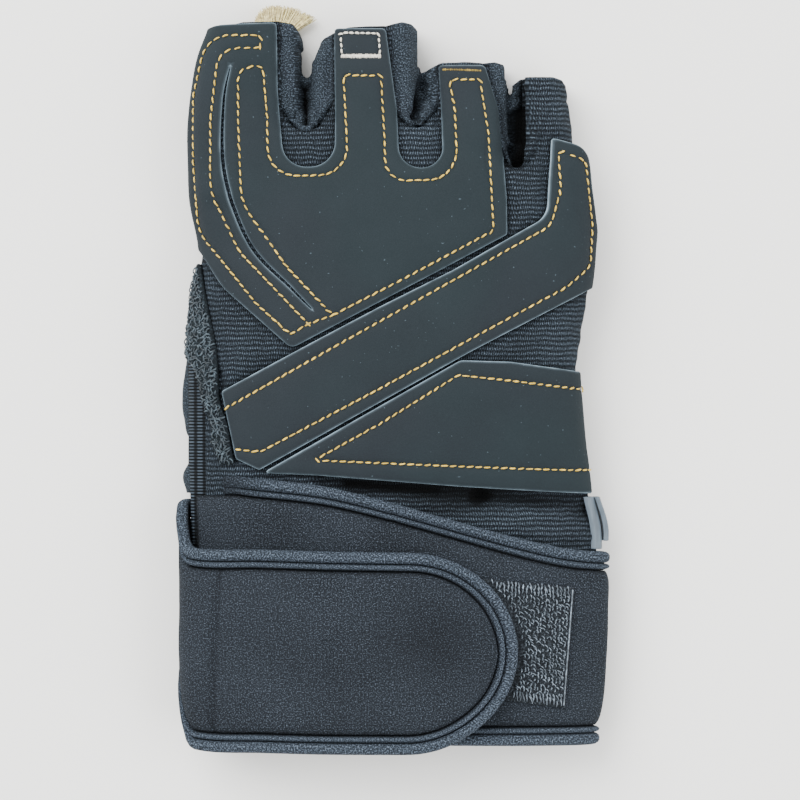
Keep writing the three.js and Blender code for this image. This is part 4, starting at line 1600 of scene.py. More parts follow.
class Overlay:
    """A flat piece cut to an outline and laid on the palm side"""

    SPACING = 1.05

    def __init__(self, name, outline, wall, finish_name, seams=(), holes=(), pale=0, puff=0.5):
        self.name = name
        self.sheet = palm_sheet()
        self.wall, self.pale, self.puff = wall, pale, puff
        self.finish = finish_named(finish_name)
        height = OVERLAY_GAP + wall
        self.outline = resampled(self.sheet.flattened(resampled(outline, 0.5, True), height), 0.6, True)
        self.holes = [
            resampled(self.sheet.flattened(resampled(hole, 0.4, True), height), 0.5, True)
            for hole in holes
        ]
        self.seams = [self.sheet.flattened(seam, height) for seam in seams]

    def rims(self):
        return [closed_line(line) for line in (self.outline, *self.holes)]

    def grown(self):
        """Points inside the outline: rings near the rims, rows by the seams and an even fill"""
        spacing = self.SPACING
        rims = self.rims()
        sets = []
        for line in rims:
            sides = left_of(np.roll(line[:-1], -1, axis=0) - np.roll(line[:-1], 1, axis=0))
            for inset in (0.28, 0.7):
                for sign in (1, -1):
                    ring = line[:-1] + sides * inset * sign
                    away, _ = distance_to(ring, rims)
                    sets.append(ring[away > inset * 0.9])
        for seam in self.seams:
            line = resampled(seam, 0.58, False)
            sides = left_of(np.gradient(line, axis=0))
            for step in (-1.0, -0.5, 0.0, 0.5, 1.0):
                row = line + sides * step
                away, _ = distance_to(row, rims)
                sets.append(row[away > 0.9])
        low, high = self.outline.min(0), self.outline.max(0)
        fill = []
        for number, y in enumerate(np.arange(low[1], high[1], spacing * 0.87)):
            start = low[0] + (spacing / 2 if number % 2 else 0)
            fill += [(s, y) for s in np.arange(start, high[0], spacing)]
        fill = np.array(fill)
        away, _ = distance_to(fill, rims)
        fill = fill[away > 1.1]
        if self.seams:
            away, _ = distance_to(fill, self.seams)
            fill = fill[away > 1.45]
        sets.append(fill)
        points = np.vstack(sets)
        points = points[self.within(points)]
        return thinned(points, 0.3)

    def within(self, points):
        result = inside(points, self.outline)
        for hole in self.holes:
            result &= ~inside(points, hole)
        return result

    def triangles(self):
        points = [Vector(point) for line in (self.outline, *self.holes) for point in line]
        edges = []
        start = 0
        for line in (self.outline, *self.holes):
            count = len(line)
            edges += [(start + at, start + (at + 1) % count) for at in range(count)]
            start += count
        points += [Vector(point) for point in self.grown()]
        flat, _, faces, _, _, _ = delaunay_2d_cdt(points, edges, [], 0, 1e-5)
        flat = np.array([tuple(point) for point in flat])
        centres = np.array([flat[list(face)].mean(0) for face in faces])
        keep = self.within(centres)
        faces = [face for face, stays in zip(faces, keep) if stays]
        turned = []
        for a, b, c in faces:
            area = np.cross(flat[b] - flat[a], flat[c] - flat[a])
            turned.append((a, b, c) if area > 0 else (a, c, b))
        used = sorted({corner for face in turned for corner in face})
        order = {old: new for new, old in enumerate(used)}
        return flat[used], [tuple(order[corner] for corner in face) for face in turned]

    def heights(self, flat):
        """Height of the upper face over the lower one, and how near each point is to a cut"""
        rim, _ = distance_to(flat, self.rims())
        shape = np.interp(rim, (0, 0.28, 0.7, 1.2), (0.62, 0.93, 1, 1))
        height = self.wall * shape
        nearest = rim
        if self.seams:
            away, place = distance_to(flat, self.seams)
            pucker = 0.75 + 0.25 * np.cos(2 * math.pi * place / form().stitch_pitch)
            height -= 0.3 * ridge(away, 0.55) * pucker
            nearest = np.minimum(rim, away)
        height += self.puff * (1 - np.exp(-nearest / 2.6))
        flat3 = np.column_stack([flat, np.zeros(len(flat))])
        height += 0.1 * ripples(flat3, 7, 5) * np.clip(nearest, 0, 1)
        return height, np.interp(rim, (0, 0.15, 0.32), (1, 0.5, 0))

    def build(self):
        flat, faces = self.triangles()
        height, edge = self.heights(flat)
        lower, _ = self.sheet.lay(flat[:, 0], flat[:, 1], np.full(len(flat), OVERLAY_GAP))
        upper, _ = self.sheet.lay(flat[:, 0], flat[:, 1], OVERLAY_GAP + height)
        count = len(flat)
        all_faces = list(faces) + [(c + count, b + count, a + count) for a, b, c in faces]
        pairs = {}
        for a, b, c in faces:
            for pair in ((a, b), (b, c), (c, a)):
                pairs[pair] = pairs.get(pair, 0) + 1
        for a, b in pairs:
            if (b, a) not in pairs:
                all_faces.append((a, a + count, b + count, b))
        points = np.vstack([upper, lower])
        # Pale cut edges: partly the leather's own edge colour and partly painted highlight
        marks = {"cut_edge": np.concatenate([edge, np.clip(edge * 2, 0, 1)]) * self.pale}
        uvs = np.vstack([flat, flat]) / 1000
        self.area = abs(polygon_area(self.outline))
        return new_piece(self.name, form().to_frame(points), all_faces, self.finish, uvs, marks)


def polygon_area(line):
    x, y = line[:, 0], line[:, 1]
    return 0.5 * float(np.sum(x * np.roll(y, -1) - np.roll(x, -1) * y))


def thinned(points, apart):
    """Leaves out points that lie too close to an earlier one"""
    taken = {}
    kept = []
    for s, y in points:
        cell = (int(s // apart), int(y // apart))
        near = False
        for di in (-1, 0, 1):
            for dj in (-1, 0, 1):
                for other in taken.get((cell[0] + di, cell[1] + dj), ()):
                    if (other[0] - s) ** 2 + (other[1] - y) ** 2 < apart * apart:
                        near = True
        if not near:
            taken.setdefault(cell, []).append((s, y))
            kept.append((s, y))
    return np.array(kept)


def stitch_template():
    """One stitch, a millimetre long and thick, dipping in at both ends"""
    where = np.array((-0.5, -0.42, -0.25, 0, 0.25, 0.42, 0.5))
    heights = 0.5 * np.cos(where * math.pi) - 0.1
    radii = 0.5 * np.array((0.35, 0.72, 0.95, 1, 0.95, 0.72, 0.35))
    points, faces = tube(np.column_stack([where * 4, np.zeros(7), heights]), radii, 6)
    points = np.array(points)
    points[:, 0] /= 4
    return points, faces


def sew(name, seams, height, finish_name, closed, fatter=1.0, pitch=None, slant=0.12):
    """Stitches along seams that are laid at a height over the palm side"""
    sheet, shape = palm_sheet(), form()
    pitch = pitch or shape.stitch_pitch
    long = min(shape.stitch_length, pitch * 0.8)
    thread = shape.thread * fatter
    generator = random.Random(len(name) + 11)
    places = []
    for seam, loop in zip(seams, closed):
        line = sheet.flattened(resampled(seam, 0.5, loop), height)
        if loop:
            line = closed_line(line)
        stops = resampled(line, pitch, False)
        ways = np.gradient(stops, axis=0)
        for stop, way in list(zip(stops, ways))[: len(stops) - (1 if loop else 0)]:
            at, up = sheet.lay(stop[0], stop[1], height)
            ahead, _ = sheet.lay(stop[0] + way[0] * 0.2, stop[1] + way[1] * 0.2, height)
            forward = ahead - at
            forward /= np.linalg.norm(forward)
            turn = generator.gauss(slant, 0.07)
            side = np.cross(up, forward)
            forward = forward * math.cos(turn) + side * math.sin(turn)
            side = np.cross(up, forward)
            size = (
                long * generator.uniform(0.86, 1.1),
                thread * generator.uniform(0.9, 1.15),
                thread * generator.uniform(0.85, 1.1),
            )
            places.append((at + up * 0.05, (forward, side, up), size))
    return added(name, *copies(stitch_template(), places), finish_name, "leather")


def slit_outline(shape):
    """The lens-shaped slit in the palm leather"""
    line = spline([shape.place(row["x"], row["along"]) for row in SLIT_ROWS], 0.9)
    sides = left_of(np.gradient(line, axis=0))
    t = np.linspace(0, 1, len(line))
    half = shape.slit_width / 2 * np.sqrt(np.sin(math.pi * t)) + 0.02
    left, right = line + sides * half[:, None], line - sides * half[:, None]
    return np.vstack([left, right[1:-1][::-1]])


def leather(name, rows, seams, pale, puff, thinner=0, holes=()):
    """A leather overlay, its piece and the height that its seams are sewn at"""
    wall = form().leather_wall - thinner
    overlay = Overlay(name, form().outline(rows), wall, "leather", seams, holes, pale, puff)
    return overlay, overlay.build(), OVERLAY_GAP + wall - THREAD_DEPTH


def build_palm_pad():
    shape = form()
    main, tip = shape.outline(MAIN_SEAM), shape.outline(MIDDLE_TIP_SEAM)
    index = [shape.outline(INDEX_OUTER_SEAM, False), shape.outline(INDEX_INNER_SEAM, False)]
    seams = [closed_line(main), *index, closed_line(tip)]
    slit = slit_outline(shape)
    overlay, piece, height = leather("glove_palm_pad", PALM_PAD_ROWS, seams, 0.5, 0.5, 0.2, [slit])
    thread = sew("glove_palm_stitches", [main, *index], height, "thread", (True, False, False))
    box = sew("glove_tip_box_stitches", [tip], height, "pale_thread", (True,), 1.2, 1.6, 0)
    low = shape.outline(MIDDLE_TIP_SEAM[2:], False)
    band = zigzag("glove_tip_bar", low, height, 1.15, 0.42, "pale_thread")
    ring = shape.outline(RING_BAR, False)
    bar = zigzag("glove_ring_bar", ring, height, 0.65, 0.45, "bar_thread")
    sewn(piece, "palm_pad")


def zigzag(name, line, height, width, pitch, finish_name):
    """A close bar of stitches across a short line"""
    sheet = palm_sheet()
    generator = random.Random(5)
    stops = resampled(sheet.flattened(resampled(line, 0.5, False), height), pitch, False)
    places = []
    thread = form().thread
    for stop in stops:
        at, up = sheet.lay(stop[0], stop[1], height)
        ahead, _ = sheet.lay(stop[0] + 0.3, stop[1], height)
        side = ahead - at
        side /= np.linalg.norm(side)
        across = np.cross(up, side)
        turn = generator.gauss(0.15, 0.12)
        forward = across * math.cos(turn) + side * math.sin(turn)
        size = (width * generator.uniform(0.85, 1.15), thread * 0.95, thread)
        places.append((at + up * 0.06, (forward, np.cross(up, forward), up), size))
    return added(name, *copies(stitch_template(), places), finish_name, "leather")


def build_cross_band():
    seam = form().outline(BAND_SEAM, False)
    overlay, piece, height = leather("glove_cross_band", CROSS_BAND_ROWS, [seam], 1, 0.45)
    thread = sew("glove_band_stitches", [seam], height, "thread", (False,))
    sewn(piece, "cross_band")


def build_heel_pad():
    seam = form().outline(HEEL_SEAM, False)
    overlay, piece, height = leather("glove_heel_pad", HEEL_PAD_ROWS, [seam], 0.85, 0.45)
    thread = sew("glove_heel_stitches", [seam], height, "thread", (False,))
    sewn(piece, "heel_pad")


def loop_template():
    """One small loop of yarn, a millimetre wide and high"""
    turns = np.linspace(-0.35, math.pi + 0.35, 7)
    path = np.column_stack([0.5 * np.cos(turns), np.zeros(7), 0.6 * np.sin(turns)])
    return tube(path, [0.17] * 7, 4)


def build_thumb_band():
    shape = form()
    outer, inner = (
        spline([shape.place(row[side], row["along"]) for row in THUMB_BAND_ROWS], 0.8)
        for side in ("outer", "inner")
    )
    outline = np.vstack([outer, inner[::-1]])
    overlay = Overlay("glove_thumb_band", outline, shape.loop_wall, "loop_ground")
    piece = overlay.build()
    generator = random.Random(21)
    low, high = overlay.outline.min(0), overlay.outline.max(0)
    stops = []
    for y in np.arange(low[1], high[1], 0.85):
        for s in np.arange(low[0], high[0], 0.85):
            stops.append((s + generator.uniform(-0.3, 0.3), y + generator.uniform(-0.3, 0.3)))
    stops = np.array(stops)
    stops = stops[overlay.within(stops)]
    away, _ = distance_to(stops, overlay.rims())
    stops = stops[away > 0.55]
    places = []
    for s, y in stops:
        at, up = overlay.sheet.lay(s, y, OVERLAY_GAP + overlay.wall + 0.12)
        turn = generator.uniform(0, math.pi)
        flat = np.array((math.cos(turn), math.sin(turn), 0))
        forward = flat - up * (flat @ up)
        forward /= np.linalg.norm(forward)
        side = np.cross(up, forward)
        lean = generator.uniform(-1.1, 1.1)
        tall = up * math.cos(lean) + side * math.sin(lean)
        size = generator.uniform(1.0, 1.6)
        places.append((at - up * 0.1, (forward, np.cross(tall, forward), tall), (size, size, size * 0.7)))
    cloth = copies(loop_template(), places)
    loops = added("glove_thumb_band_loops", *cloth, "loops", "loop_cloth")
    sewn(piece, "thumb_band")


# The wrap


class WrapRoute:
    """The wrap's way round the wrist, by length along it"""

    ROOT_STEPS = 40
    STEPS = 1200

    def __init__(self, shape):
        self.shape = shape
        row = row_at(HAND_ROWS, 17)
        middle = (row["left"] + row["right"]) / 2
        half = (row["right"] - row["left"]) / 2

        def angle_of(x):
            share = (x - middle) / half
            return math.acos(math.copysign(abs(share) ** (UPPER_SQUARENESS / 2), share))

        start = angle_of(WRAP_START)
        end = angle_of(WRAP_END) - 2 * math.pi
        root = angle_of(WRAP_ROOT)
        rooted = np.linspace(root, start, self.ROOT_STEPS)[:-1]
        angles = np.concatenate([rooted, np.linspace(start, end, self.STEPS)])
        rise = smooth_step((-math.pi - angles) / (math.pi - start) / 0.8)
        offsets = shape.gap + (shape.strap_offset - shape.gap) * rise
        places = np.array([shape.section_point(row, o, a) for o, a in zip(offsets, angles)])
        steps = np.linalg.norm(np.diff(places, axis=0), axis=1)
        lengths = np.concatenate([[0], np.cumsum(steps)])
        lengths -= lengths[self.ROOT_STEPS - 1]
        self.lengths, self.angles, self.offsets = lengths, angles, offsets
        self.first, self.length = lengths[0], lengths[-1]
        self.rows = {}

    def row(self, y):
        key = round(y * 20)
        if key not in self.rows:
            self.rows[key] = row_at(HAND_ROWS, key / 20 / self.shape.length * 100)
        return self.rows[key]

    def point(self, length, y, height):
        angle = float(np.interp(length, self.lengths, self.angles))
        offset = float(np.interp(length, self.lengths, self.offsets))
        x, z = self.shape.section_point(self.row(y), offset + height, angle)
        return x, y, max(z, 0)

    def edge(self, length, side):
        share = min(max(length / self.length, 0), 1)
        return self.shape.along(column_at(WRAP_ROWS, "share", side, share))

    def stations(self, inset, step, start):
        """Length and both edges at even steps, and round the end, moved in by inset"""
        rounded = self.shape.across(WRAP_END_LENGTH)
        straight = self.length - rounded
        result = []
        for length in np.linspace(start, straight, int((straight - start) / step) + 1):
            result.append((length, self.edge(length, "upper") - inset, self.edge(length, "lower") + inset))
        middle = (self.edge(self.length, "upper") + self.edge(self.length, "lower")) / 2
        for turn in np.linspace(0, math.pi / 2, 50)[1:-1]:
            length = straight + (rounded - inset) * math.sin(turn)
            upper = middle + (self.edge(length, "upper") - middle - inset) * math.cos(turn)
            lower = middle + (self.edge(length, "lower") - middle + inset) * math.cos(turn)
            result.append((length, upper, lower))
        return result


def wrap_route():
    if "route" not in WORK:
        WORK["route"] = WrapRoute(form())
    return WORK["route"]


def strap_dents(route, length, x, y):
    """How far the outer layer of the wrap is pressed in at a place"""
    if length < route.length * 0.66:
        return 0.0
    shape = route.shape
    crease_x = shape.across(-37.9) + (shape.along(24.5) - y) * -0.035
    dent = 0.55 * float(ridge(x - crease_x, 0.8))
    away = ((x - shape.across(9)) / 13) ** 2 + ((y - shape.along(15.5)) / 11) ** 2
    dent += 0.7 * math.exp(-away)
    return dent


def build_wrist_wrap():
    shape, route = form(), wrap_route()
    shares = np.concatenate([[0, 0.012, 0.03, 0.06], np.linspace(0.1, 0.9, 33), [0.94, 0.97, 0.988, 1]])
    upper_face, lower_face, uvs, shades = [], [], [], []
    for length, upper, lower in route.stations(shape.hem_width + 0.12, 1.15, route.first):
        past_root = length - route.first
        fade = 0.22 + 0.78 * float(smooth_step(past_root / 13))
        for share in shares:
            y = upper + (lower - upper) * share
            rim = min(share, 1 - share) * abs(upper - lower)
            rim = min(rim, past_root * 1.5 + 0.01)
            flat = route.point(length, y, 0)
            dents = strap_dents(route, length, flat[0], y)
            swell = 0.35 * noise.noise(Vector((length / 17, y / 13, 3.1)))
            swell += 0.12 * noise.noise(Vector((length / 6, y / 5, 7.7)))
            height = shape.wrap_wall * (0.62 + 0.38 * (1 - math.exp(-rim / 1.3)))
            height += min(swell, 0.25) - 0.1 - dents
            upper_face.append(route.point(length, y, height * fade))
            lower_face.append(flat)
            uvs.append((length / 1000, y / 1000))
            # Painted shade in the dents and along the rims, over an uneven darker tone
            shade = 0.55 * dents + 0.16 * noise.noise(Vector((length / 21, y / 16, 5)))
            shades.append(min(max(shade + 0.1, 0.75 * math.exp(-rim / 0.5), 0), 0.9))
    points, faces = slab(upper_face, lower_face, len(shares))
    marks = {"deep": shades * 2}
    piece = new_piece("glove_wrist_wrap", shape.to_frame(points), faces, finish_named("wrap"), uvs * 2, marks)
    outward(piece)
    sewn(piece,
         "wrist_wrap")


def outward(piece):
    """Faces of a closed piece point outwards"""
    mesh = bmesh.new()
    mesh.from_mesh(piece.data)
    bmesh.ops.recalc_face_normals(mesh, faces=mesh.faces)
    if mesh.calc_volume(signed=True) < 0:
        bmesh.ops.reverse_faces(mesh, faces=mesh.faces)
    mesh.to_mesh(piece.data)
    mesh.free()


# The hem's section: share of its width from the outer edge, and height over the inner face
HEM_SECTION = (
    (0.1, 0.15), (0.02, 0.8), (0, 1.6), (0.03, 2.4), (0.11, 3.0), (0.22, 3.35), (0.36, 3.35),
    (0.5, 3.05), (0.58, 2.4), (0.62, 1.5), (0.66, 2.35), (0.71, 2.9), (0.79, 3.1), (0.87, 2.85),
    (0.92, 2.3), (0.955, 1.6), (1.0, 1.3), (1.0, 0.9), (0.97, 0.15), (0.75, 0), (0.5, 0), (0.3, 0),
)
# Painted shade at each point of the hem's section: in the groove between the rolls, down its inner side and
# underneath, a little at the outer foot
HEM_SHADE = (0.5, 0.2, 0, 0, 0, 0, 0, 0, 0.35, 0.95, 0.35, 0, 0, 0, 0.35, 0.8, 0.95, 1, 1, 1, 1, 1)


def build_wrap_hem():
    shape, route = form(), wrap_route()
    start = route.first + shape.across(7)
    outer = route.stations(0, 0.9, start)
    inner = route.stations(shape.hem_width, 0.9, start)
    rings, uvs, shades = [], [], []
    run = 0.0
    before = None
    both = [(station, near, 1) for station, near in zip(outer, inner)]
    both += [(station, near, 2) for station, near in reversed(list(zip(outer, inner)))]
    for far, near, side in both:
        ring = []
        fade = 0.25 + 0.75 * float(smooth_step((far[0] - start) / 11))
        for share, height in HEM_SECTION:
            length = far[0] + (near[0] - far[0]) * share
            y = far[side] + (near[side] - far[side]) * share
            lumps = 0.16 * noise.noise(Vector((length / 3.2, y / 3.2, 11 + side)))
            raised = height * fade + lumps * min(height, 1)
            ring.append(route.point(length, y, max(raised, 0)))
        middle = np.array(ring[6])
        if before is not None:
            run += float(np.linalg.norm(middle - before))
        before = middle
        rings.append(ring)
        # Painted shade, darkest where the hem starts
        dim = 0.6 * (1 - float(smooth_step((far[0] - start) / 17)))
        shades += [max(shade, dim) for shade in HEM_SHADE]
        uvs += [(run / 1000, at * 0.00055) for at in range(len(HEM_SECTION))]
    points, faces = capped(rings)
    marks = {"deep": shades}
    piece = new_piece("glove_wrap_hem", shape.to_frame(points), faces, finish_named("hem"), uvs, marks)
    outward(piece)
    share = min(one_face(piece) / 12 / run, 1)
    sewn(piece, "wrap_hem")


# The hook tape, the side strip and the tab


def wrist_place(shape, x, y, height):
    """Place at a height over the body at the wrist, by its place in the plan view"""
    row = wrap_route().row(y)
    middle, half = shape.span(row)
    share = min(max((x - middle) / (half + height), -0.999), 0.999)
    angle = math.acos(math.copysign(abs(share) ** (UPPER_SQUARENESS / 2), share))
    at = np.array(shape.section_point(row, height, angle))
    out = np.array(shape.section_point(row, height + 1, angle))
    up = np.array((out[0] - at[0], 0, out[1] - at[1]))
    return np.array((at[0], y, at[1])), up / np.linalg.norm(up)


def hook_template():
    """One hook of nylon, a millimetre high"""
    path = ((0, 0, 0), (0, 0.02, 0.45), (0.05, 0.1, 0.8), (0.08, 0.32, 1), (0.1, 0.55, 0.85))
    return tube(path, (0.2, 0.17, 0.16, 0.15, 0.11), 4)


def build_hook_patch():
    shape, route = form(), wrap_route()
    corners = [shape.place(row["x"], row["along"]) for row in HOOK_PATCH_ROWS]
    top_left, top_right, low_right, low_left = corners
    base = shape.wrap_layer + shape.gap
    wall = shape.hook_wall

    def place(u, v, height):
        left = top_left + (low_left - top_left) * v
        right = top_right + (low_right - top_right) * v
        x, y = left + (right - left) * u
        return wrist_place(shape, x, y, base + height)

    steps = 36
    upper, lower, uvs = [], [], []
    for i in range(steps + 1):
        for j in range(steps + 1):
            u, v = j / steps, i / steps
            rim = min(u, 1 - u, v, 1 - v)
            upper.append(place(u, v, wall * (0.75 if rim == 0 else 1))[0])
            lower.append(place(u, v, 0)[0])
            uvs.append((u * 0.035, v * 0.033))
    points, faces = slab(upper, lower, steps + 1)
    finish = finish_named("hook_backing")
    piece = new_piece("glove_hook_patch", shape.to_frame(points), faces, finish, uvs * 2)
    outward(piece)

    generator = random.Random(3)
    end_x = route.point(route.length, shape.along(14), shape.wrap_wall)[0]

    reach = shape.across(WRAP_END_LENGTH)
    strap_middle = shape.along(13.7)

    def clear(at):
        """Whether a place lies outside the strap's rounded end"""
        away = (at[1] - strap_middle) / (strap_middle + 0.5)
        return abs(away) >= 1 or at[0] > end_x - reach + reach * math.sqrt(1 - away * away) + 0.6

    places = []
    for v in np.arange(0.03, 0.98, 0.031):
        for u in np.arange(0.02, 0.97, 0.029):
            u2, v2 = u + generator.uniform(-0.006, 0.006), v + generator.uniform(-0.012, 0.012)
            border = v < 0.09 or v > 0.92
            if not border and generator.random() < 0.13:
                continue
            at, up = place(u2, v2, wall)
            if not clear(at):
                continue
            turn = generator.gauss(0, 0.25) if border else generator.uniform(-1.2, 1.2)
            down = np.array((math.sin(turn), -math.cos(turn), 0))
            down -= up * (down @ up)
            down /= np.linalg.norm(down)
            side = np.cross(down, up)
            tall = 0.55 if border else generator.uniform(0.6, 0.95)
            size = (0.95, 2.6 if border else 1.5, tall)
            places.append((at - up * 0.05 - down * 0.5, (side, down, up), size))
    hooks = added("glove_hooks", *copies(hook_template(), places), "hooks", "hook_tape")
    outward(hooks)
    edge = [place(0.985, v, wall + 0.1)[0] for v in np.linspace(0.02, 0.98, 60)]
    line = added("glove_hook_edge", *tube(edge, [0.2] * 60, 6), "hooks", "hook_tape")
    sewn(piece, "hook_patch")


def build_side_facing():
    """Two smooth strips at the side, one over the other"""
    shape = form()
    near, far = shape.along(27.9), shape.along(35.1)
    layers = []
    for layer in (0, 1):
        rings = []
        base = shape.gap + layer * shape.facing_wall * 0.5
        thick = shape.facing_wall * 0.5 - 0.1
        for y in np.linspace(near + 2.2 * layer, far, 34):
            row = wrap_route().row(y)
            t = (y - near) / (far - near)
            swell = (0.5 + 0.9 * layer) * math.sin(math.pi * min(t * 0.62 + 0.2, 1)) ** 2
            high_turn = (0.34, 0.15)[layer] - (0.02, 0.07)[layer] * math.sin(math.pi * t)
            turns = np.linspace(-0.3, high_turn, 18)
            outer = [shape.section_point(row, base + thick + swell, turn) for turn in turns]
            inner = [shape.section_point(row, base + swell * 0.8, turn) for turn in turns[::-1]]
            rings.append([(x, y, z) for x, z in outer + inner])
        layers.append(capped(rings))
    points, faces = joined(layers)
    piece = new_piece("glove_side_facing", shape.to_frame(points), faces, finish_named("facing"))
    outward(piece)
    finish_modifier(piece, "BEVEL", width=0.0002, segments=2, limit_method="ANGLE", angle_limit=0.9)
    sewn(piece, "side_facing")


def build_pull_tab():
    """A strip of cloth in the index stall, frayed into strands past its mouth"""
    shape = form()
    mouth = FINGER_ROWS["index"][-1]
    floor = mouth["floor"] * shape.height + 1.5 + shape.gap
    root, end = shape.along(96.4), shape.along(99.4)
    generator = random.Random(17)
    left, right = shape.across(-30.2), shape.across(-23.5)
    rings = []
    for y in np.linspace(root, end, 12):
        ring = []
        for turn in np.linspace(0, 2 * math.pi, 40, endpoint=False):
            x = (left + right) / 2 + (right - left) / 2 * float(signed_power(math.cos(turn), 0.35))
            z = floor + 0.8 + 0.7 * float(signed_power(math.sin(turn), 0.6))
            ring.append((x, y, z + 0.1 * math.sin(x * 4)))
        rings.append(ring)
    parts = [capped(rings)]
    strands = 300
    for number in range(strands):
        share = number / (strands - 1)
        x = left + (right + 0.6 - left) * share + generator.uniform(-0.2, 0.2)
        spot = share * (len(TAB_ROWS) - 1)
        at = min(int(spot), len(TAB_ROWS) - 2)
        blend = spot - at
        tip = TAB_ROWS[at]["tip"] * (1 - blend) + TAB_ROWS[at + 1]["tip"] * blend
        lean = TAB_ROWS[at]["lean"] * (1 - blend) + TAB_ROWS[at + 1]["lean"] * blend
        reach = shape.along(tip) - end + generator.uniform(-0.9, 0.35)
        z = floor + 0.8 + generator.uniform(-0.65, 0.75)
        bend = generator.uniform(-0.25, 0.25)
        path = []
        for step in range(7):
            t = step / 6
            wave = 0.12 * math.sin(6 * t + number)
            path.append((
                x + reach * math.tan(lean) * t * 0.9 + bend * t + wave,
                end - 0.8 + (reach + 0.8) * t,
                max(z + generator.uniform(-0.05, 0.05) - 0.5 * t * t, 0.4),
            ))
        parts.append(tube(path, [0.2, 0.2, 0.19, 0.18, 0.17, 0.15, 0.1], 4))
    points, faces = joined(parts)
    piece = new_piece("glove_pull_tab", shape.to_frame(points), faces, finish_named("tab"))
    outward(piece)
    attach(piece, "root")
    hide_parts("pull_tab")


# The stage


def build_stage():
    settings = bpy.context.scene.glove_stage
    deselect()
    bpy.ops.mesh.primitive_plane_add(size=6, location=(0, 0, 0))
    floor = bpy.context.object
    floor.name = "floor"
    bpy.ops.object.mode_set(mode="EDIT")
    bpy.ops.mesh.select_all(action="SELECT")
    bpy.ops.mesh.subdivide(number_cuts=4)
    bpy.ops.object.mode_set(mode="OBJECT")
    floor.data.materials.append(floor_finish(settings))

    world = bpy.context.scene.world or bpy.data.worlds.new("daylight")
    bpy.context.scene.world = world
    world.use_nodes = True
    background = world.node_tree.nodes.get("Background")
    background.inputs["Color"].default_value = (1, 1, 1, 1)
    background.inputs["Strength"].default_value = settings.daylight

    lamp("window", (-0.75, 0.75, 1.1), settings.window_power, 1.3)
    lamp("fill", (1.1, -0.3, 0.9), settings.fill_power, 1.2)

    across, along = (PHOTO_MIDDLE - GLOVE_MIDDLE) * PIXEL, (WRIST_EDGE - PHOTO_MIDDLE) * PIXEL
    centre = form().to_frame((across, along, 0))
    camera = bpy.data.cameras.new("camera")
    camera.sensor_width = 36
    to_palm = settings.camera_height - 0.016
    camera.lens = camera.sensor_width * to_palm / settings.view_width
    camera.clip_end = 20
    eye = bpy.data.objects.new("camera", camera)
    eye.location = (centre[0], centre[1], settings.camera_height)
    bpy.context.collection.objects.link(eye)
    bpy.context.scene.camera = eye


def lamp(name, place, power, size):
    light = bpy.data.lights.new(name, "AREA")
    light.energy = power
    light.size = size
    item = bpy.data.objects.new(name, light)
    item.location = place
    item.rotation_euler = (Vector((0, 0, 0)) - Vector(place)).to_track_quat("-Z", "Y").to_euler()
    bpy.context.collection.objects.link(item)


# Operators


class GLOVE_OT_stage(bpy.types.Operator):
    """Add the surface, the light and the camera"""

    bl_idname = "glove.stage"
    bl_label = "Stage"

    def execute(self, context):
        build_stage()
        return {"FINISHED"}


class GLOVE_OT_palm_panel(bpy.types.Operator):
    """Add the knit palm half of the body"""

    bl_idname = "glove.palm_panel"
    bl_label = "Palm panel"

    def execute(self, context):
        build_palm_panel()
        return {"FINISHED"}


class GLOVE_OT_back_panel(bpy.types.Operator):
    """Add the knit back half of the body"""

    bl_idname = "glove.back_panel"
    bl_label = "Back panel"

    def execute(self, context):
        build_back_panel()
        return {"FINISHED"}


class GLOVE_OT_fourchettes(bpy.types.Operator):
    """Add the stretch strips between the fingers"""

    bl_idname = "glove.fourchettes"
    bl_label = "Fourchettes"

    def execute(self, context):
        build_fourchettes()
        return {"FINISHED"}


class GLOVE_OT_thumb_stall(bpy.types.Operator):
    """Add the thumb stall, folded behind the hand"""

    bl_idname = "glove.thumb_stall"
    bl_label = "Thumb stall"

    def execute(self, context):
        build_thumb_stall()
        return {"FINISHED"}


class GLOVE_OT_thumb_band(bpy.types.Operator):
    """Add the looped band along the thumb seam"""

    bl_idname = "glove.thumb_band"
    bl_label = "Thumb band"

    def execute(self, context):
        build_thumb_band()
        return {"FINISHED"}


class GLOVE_OT_palm_pad(bpy.types.Operator):
    """Add the main leather overlay with its seams"""

    bl_idname = "glove.palm_pad"
    bl_label = "Palm pad"

    def execute(self, context):
        build_palm_pad()
        return {"FINISHED"}


class GLOVE_OT_cross_band(bpy.types.Operator):
    """Add the leather band across the palm with its seam"""

    bl_idname = "glove.cross_band"
    bl_label = "Cross band"

    def execute(self, context):
        build_cross_band()
        return {"FINISHED"}


class GLOVE_OT_heel_pad(bpy.types.Operator):
    """Add the leather overlay on the heel of the hand with its seam"""

    bl_idname = "glove.heel_pad"
    bl_label = "Heel pad"

    def execute(self, context):
        build_heel_pad()
        return {"FINISHED"}


class GLOVE_OT_wrist_wrap(bpy.types.Operator):
    """Add the wrap round the wrist"""

    bl_idname = "glove.wrist_wrap"
    bl_label = "Wrist wrap"

    def execute(self, context):
        build_wrist_wrap()
        return {"FINISHED"}


class GLOVE_OT_wrap_hem(bpy.types.Operator):
    """Add the twin-roll hem round the wrap"""

    bl_idname = "glove.wrap_hem"
    bl_label = "Wrap hem"

    def execute(self, context):
        build_wrap_hem()
        return {"FINISHED"}


class GLOVE_OT_hook_patch(bpy.types.Operator):
    """Add the hook tape that the wrap closes on"""

    bl_idname = "glove.hook_patch"
    bl_label = "Hook patch"

    def execute(self, context):
        build_hook_patch()
        return {"FINISHED"}


class GLOVE_OT_side_facing(bpy.types.Operator):
    """Add the smooth strip at the side"""

    bl_idname = "glove.side_facing"
    bl_label = "Side facing"

    def execute(self, context):
        build_side_facing()
        return {"FINISHED"}


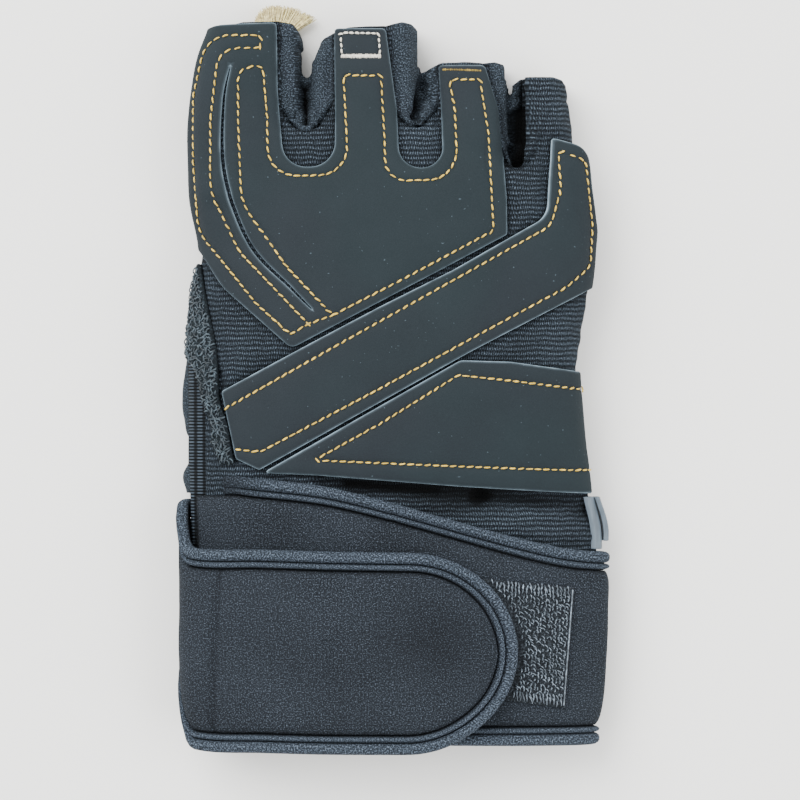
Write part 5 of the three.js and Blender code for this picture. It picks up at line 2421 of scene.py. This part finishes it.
class GLOVE_OT_pull_tab(bpy.types.Operator):
    """Add the frayed tab at the index finger"""

    bl_idname = "glove.pull_tab"
    bl_label = "Pull tab"

    def execute(self, context):
        build_pull_tab()
        return {"FINISHED"}


OPERATORS = (
    GLOVE_OT_stage,
    GLOVE_OT_back_panel,
    GLOVE_OT_palm_panel,
    GLOVE_OT_fourchettes,
    GLOVE_OT_thumb_stall,
    GLOVE_OT_thumb_band,
    GLOVE_OT_palm_pad,
    GLOVE_OT_cross_band,
    GLOVE_OT_heel_pad,
    GLOVE_OT_wrist_wrap,
    GLOVE_OT_wrap_hem,
    GLOVE_OT_hook_patch,
    GLOVE_OT_side_facing,
    GLOVE_OT_pull_tab,
)


class GLOVE_PT_panel(bpy.types.Panel):
    """Sizes, colours and pieces of the glove"""

    bl_idname = "GLOVE_PT_panel"
    bl_label = "Lifting Glove"
    bl_space_type = "VIEW_3D"
    bl_region_type = "UI"
    bl_category = "Glove"

    def draw(self, context):
        scene = context.scene
        for group in (scene.glove_sizes, scene.glove_colours, scene.glove_stage):
            box = self.layout.box()
            for name in group.__annotations__:
                box.prop(group, name)
        column = self.layout.column()
        for operator in OPERATORS:
            column.operator(operator.bl_idname)


CLASSES = (GloveSizes, GloveColours, StageSettings, *OPERATORS, GLOVE_PT_panel)


def register():
    for item in CLASSES:
        bpy.utils.register_class(item)
    bpy.types.Scene.glove_sizes = bpy.props.PointerProperty(type=GloveSizes)
    bpy.types.Scene.glove_colours = bpy.props.PointerProperty(type=GloveColours)
    bpy.types.Scene.glove_stage = bpy.props.PointerProperty(type=StageSettings)


def unregister():
    del bpy.types.Scene.glove_stage
    del bpy.types.Scene.glove_colours
    del bpy.types.Scene.glove_sizes
    for item in reversed(CLASSES):
        bpy.utils.unregister_class(item)


def main():
    register()
    bpy.ops.glove.stage()
    bpy.ops.glove.back_panel()
    bpy.ops.glove.palm_panel()
    bpy.ops.glove.fourchettes()
    bpy.ops.glove.thumb_stall()
    bpy.ops.glove.thumb_band()
    bpy.ops.glove.palm_pad()
    bpy.ops.glove.cross_band()
    bpy.ops.glove.heel_pad()
    bpy.ops.glove.wrist_wrap()
    bpy.ops.glove.wrap_hem()
    bpy.ops.glove.hook_patch()
    bpy.ops.glove.side_facing()
    bpy.ops.glove.pull_tab()
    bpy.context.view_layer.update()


if __name__ == "__main__":
    main()
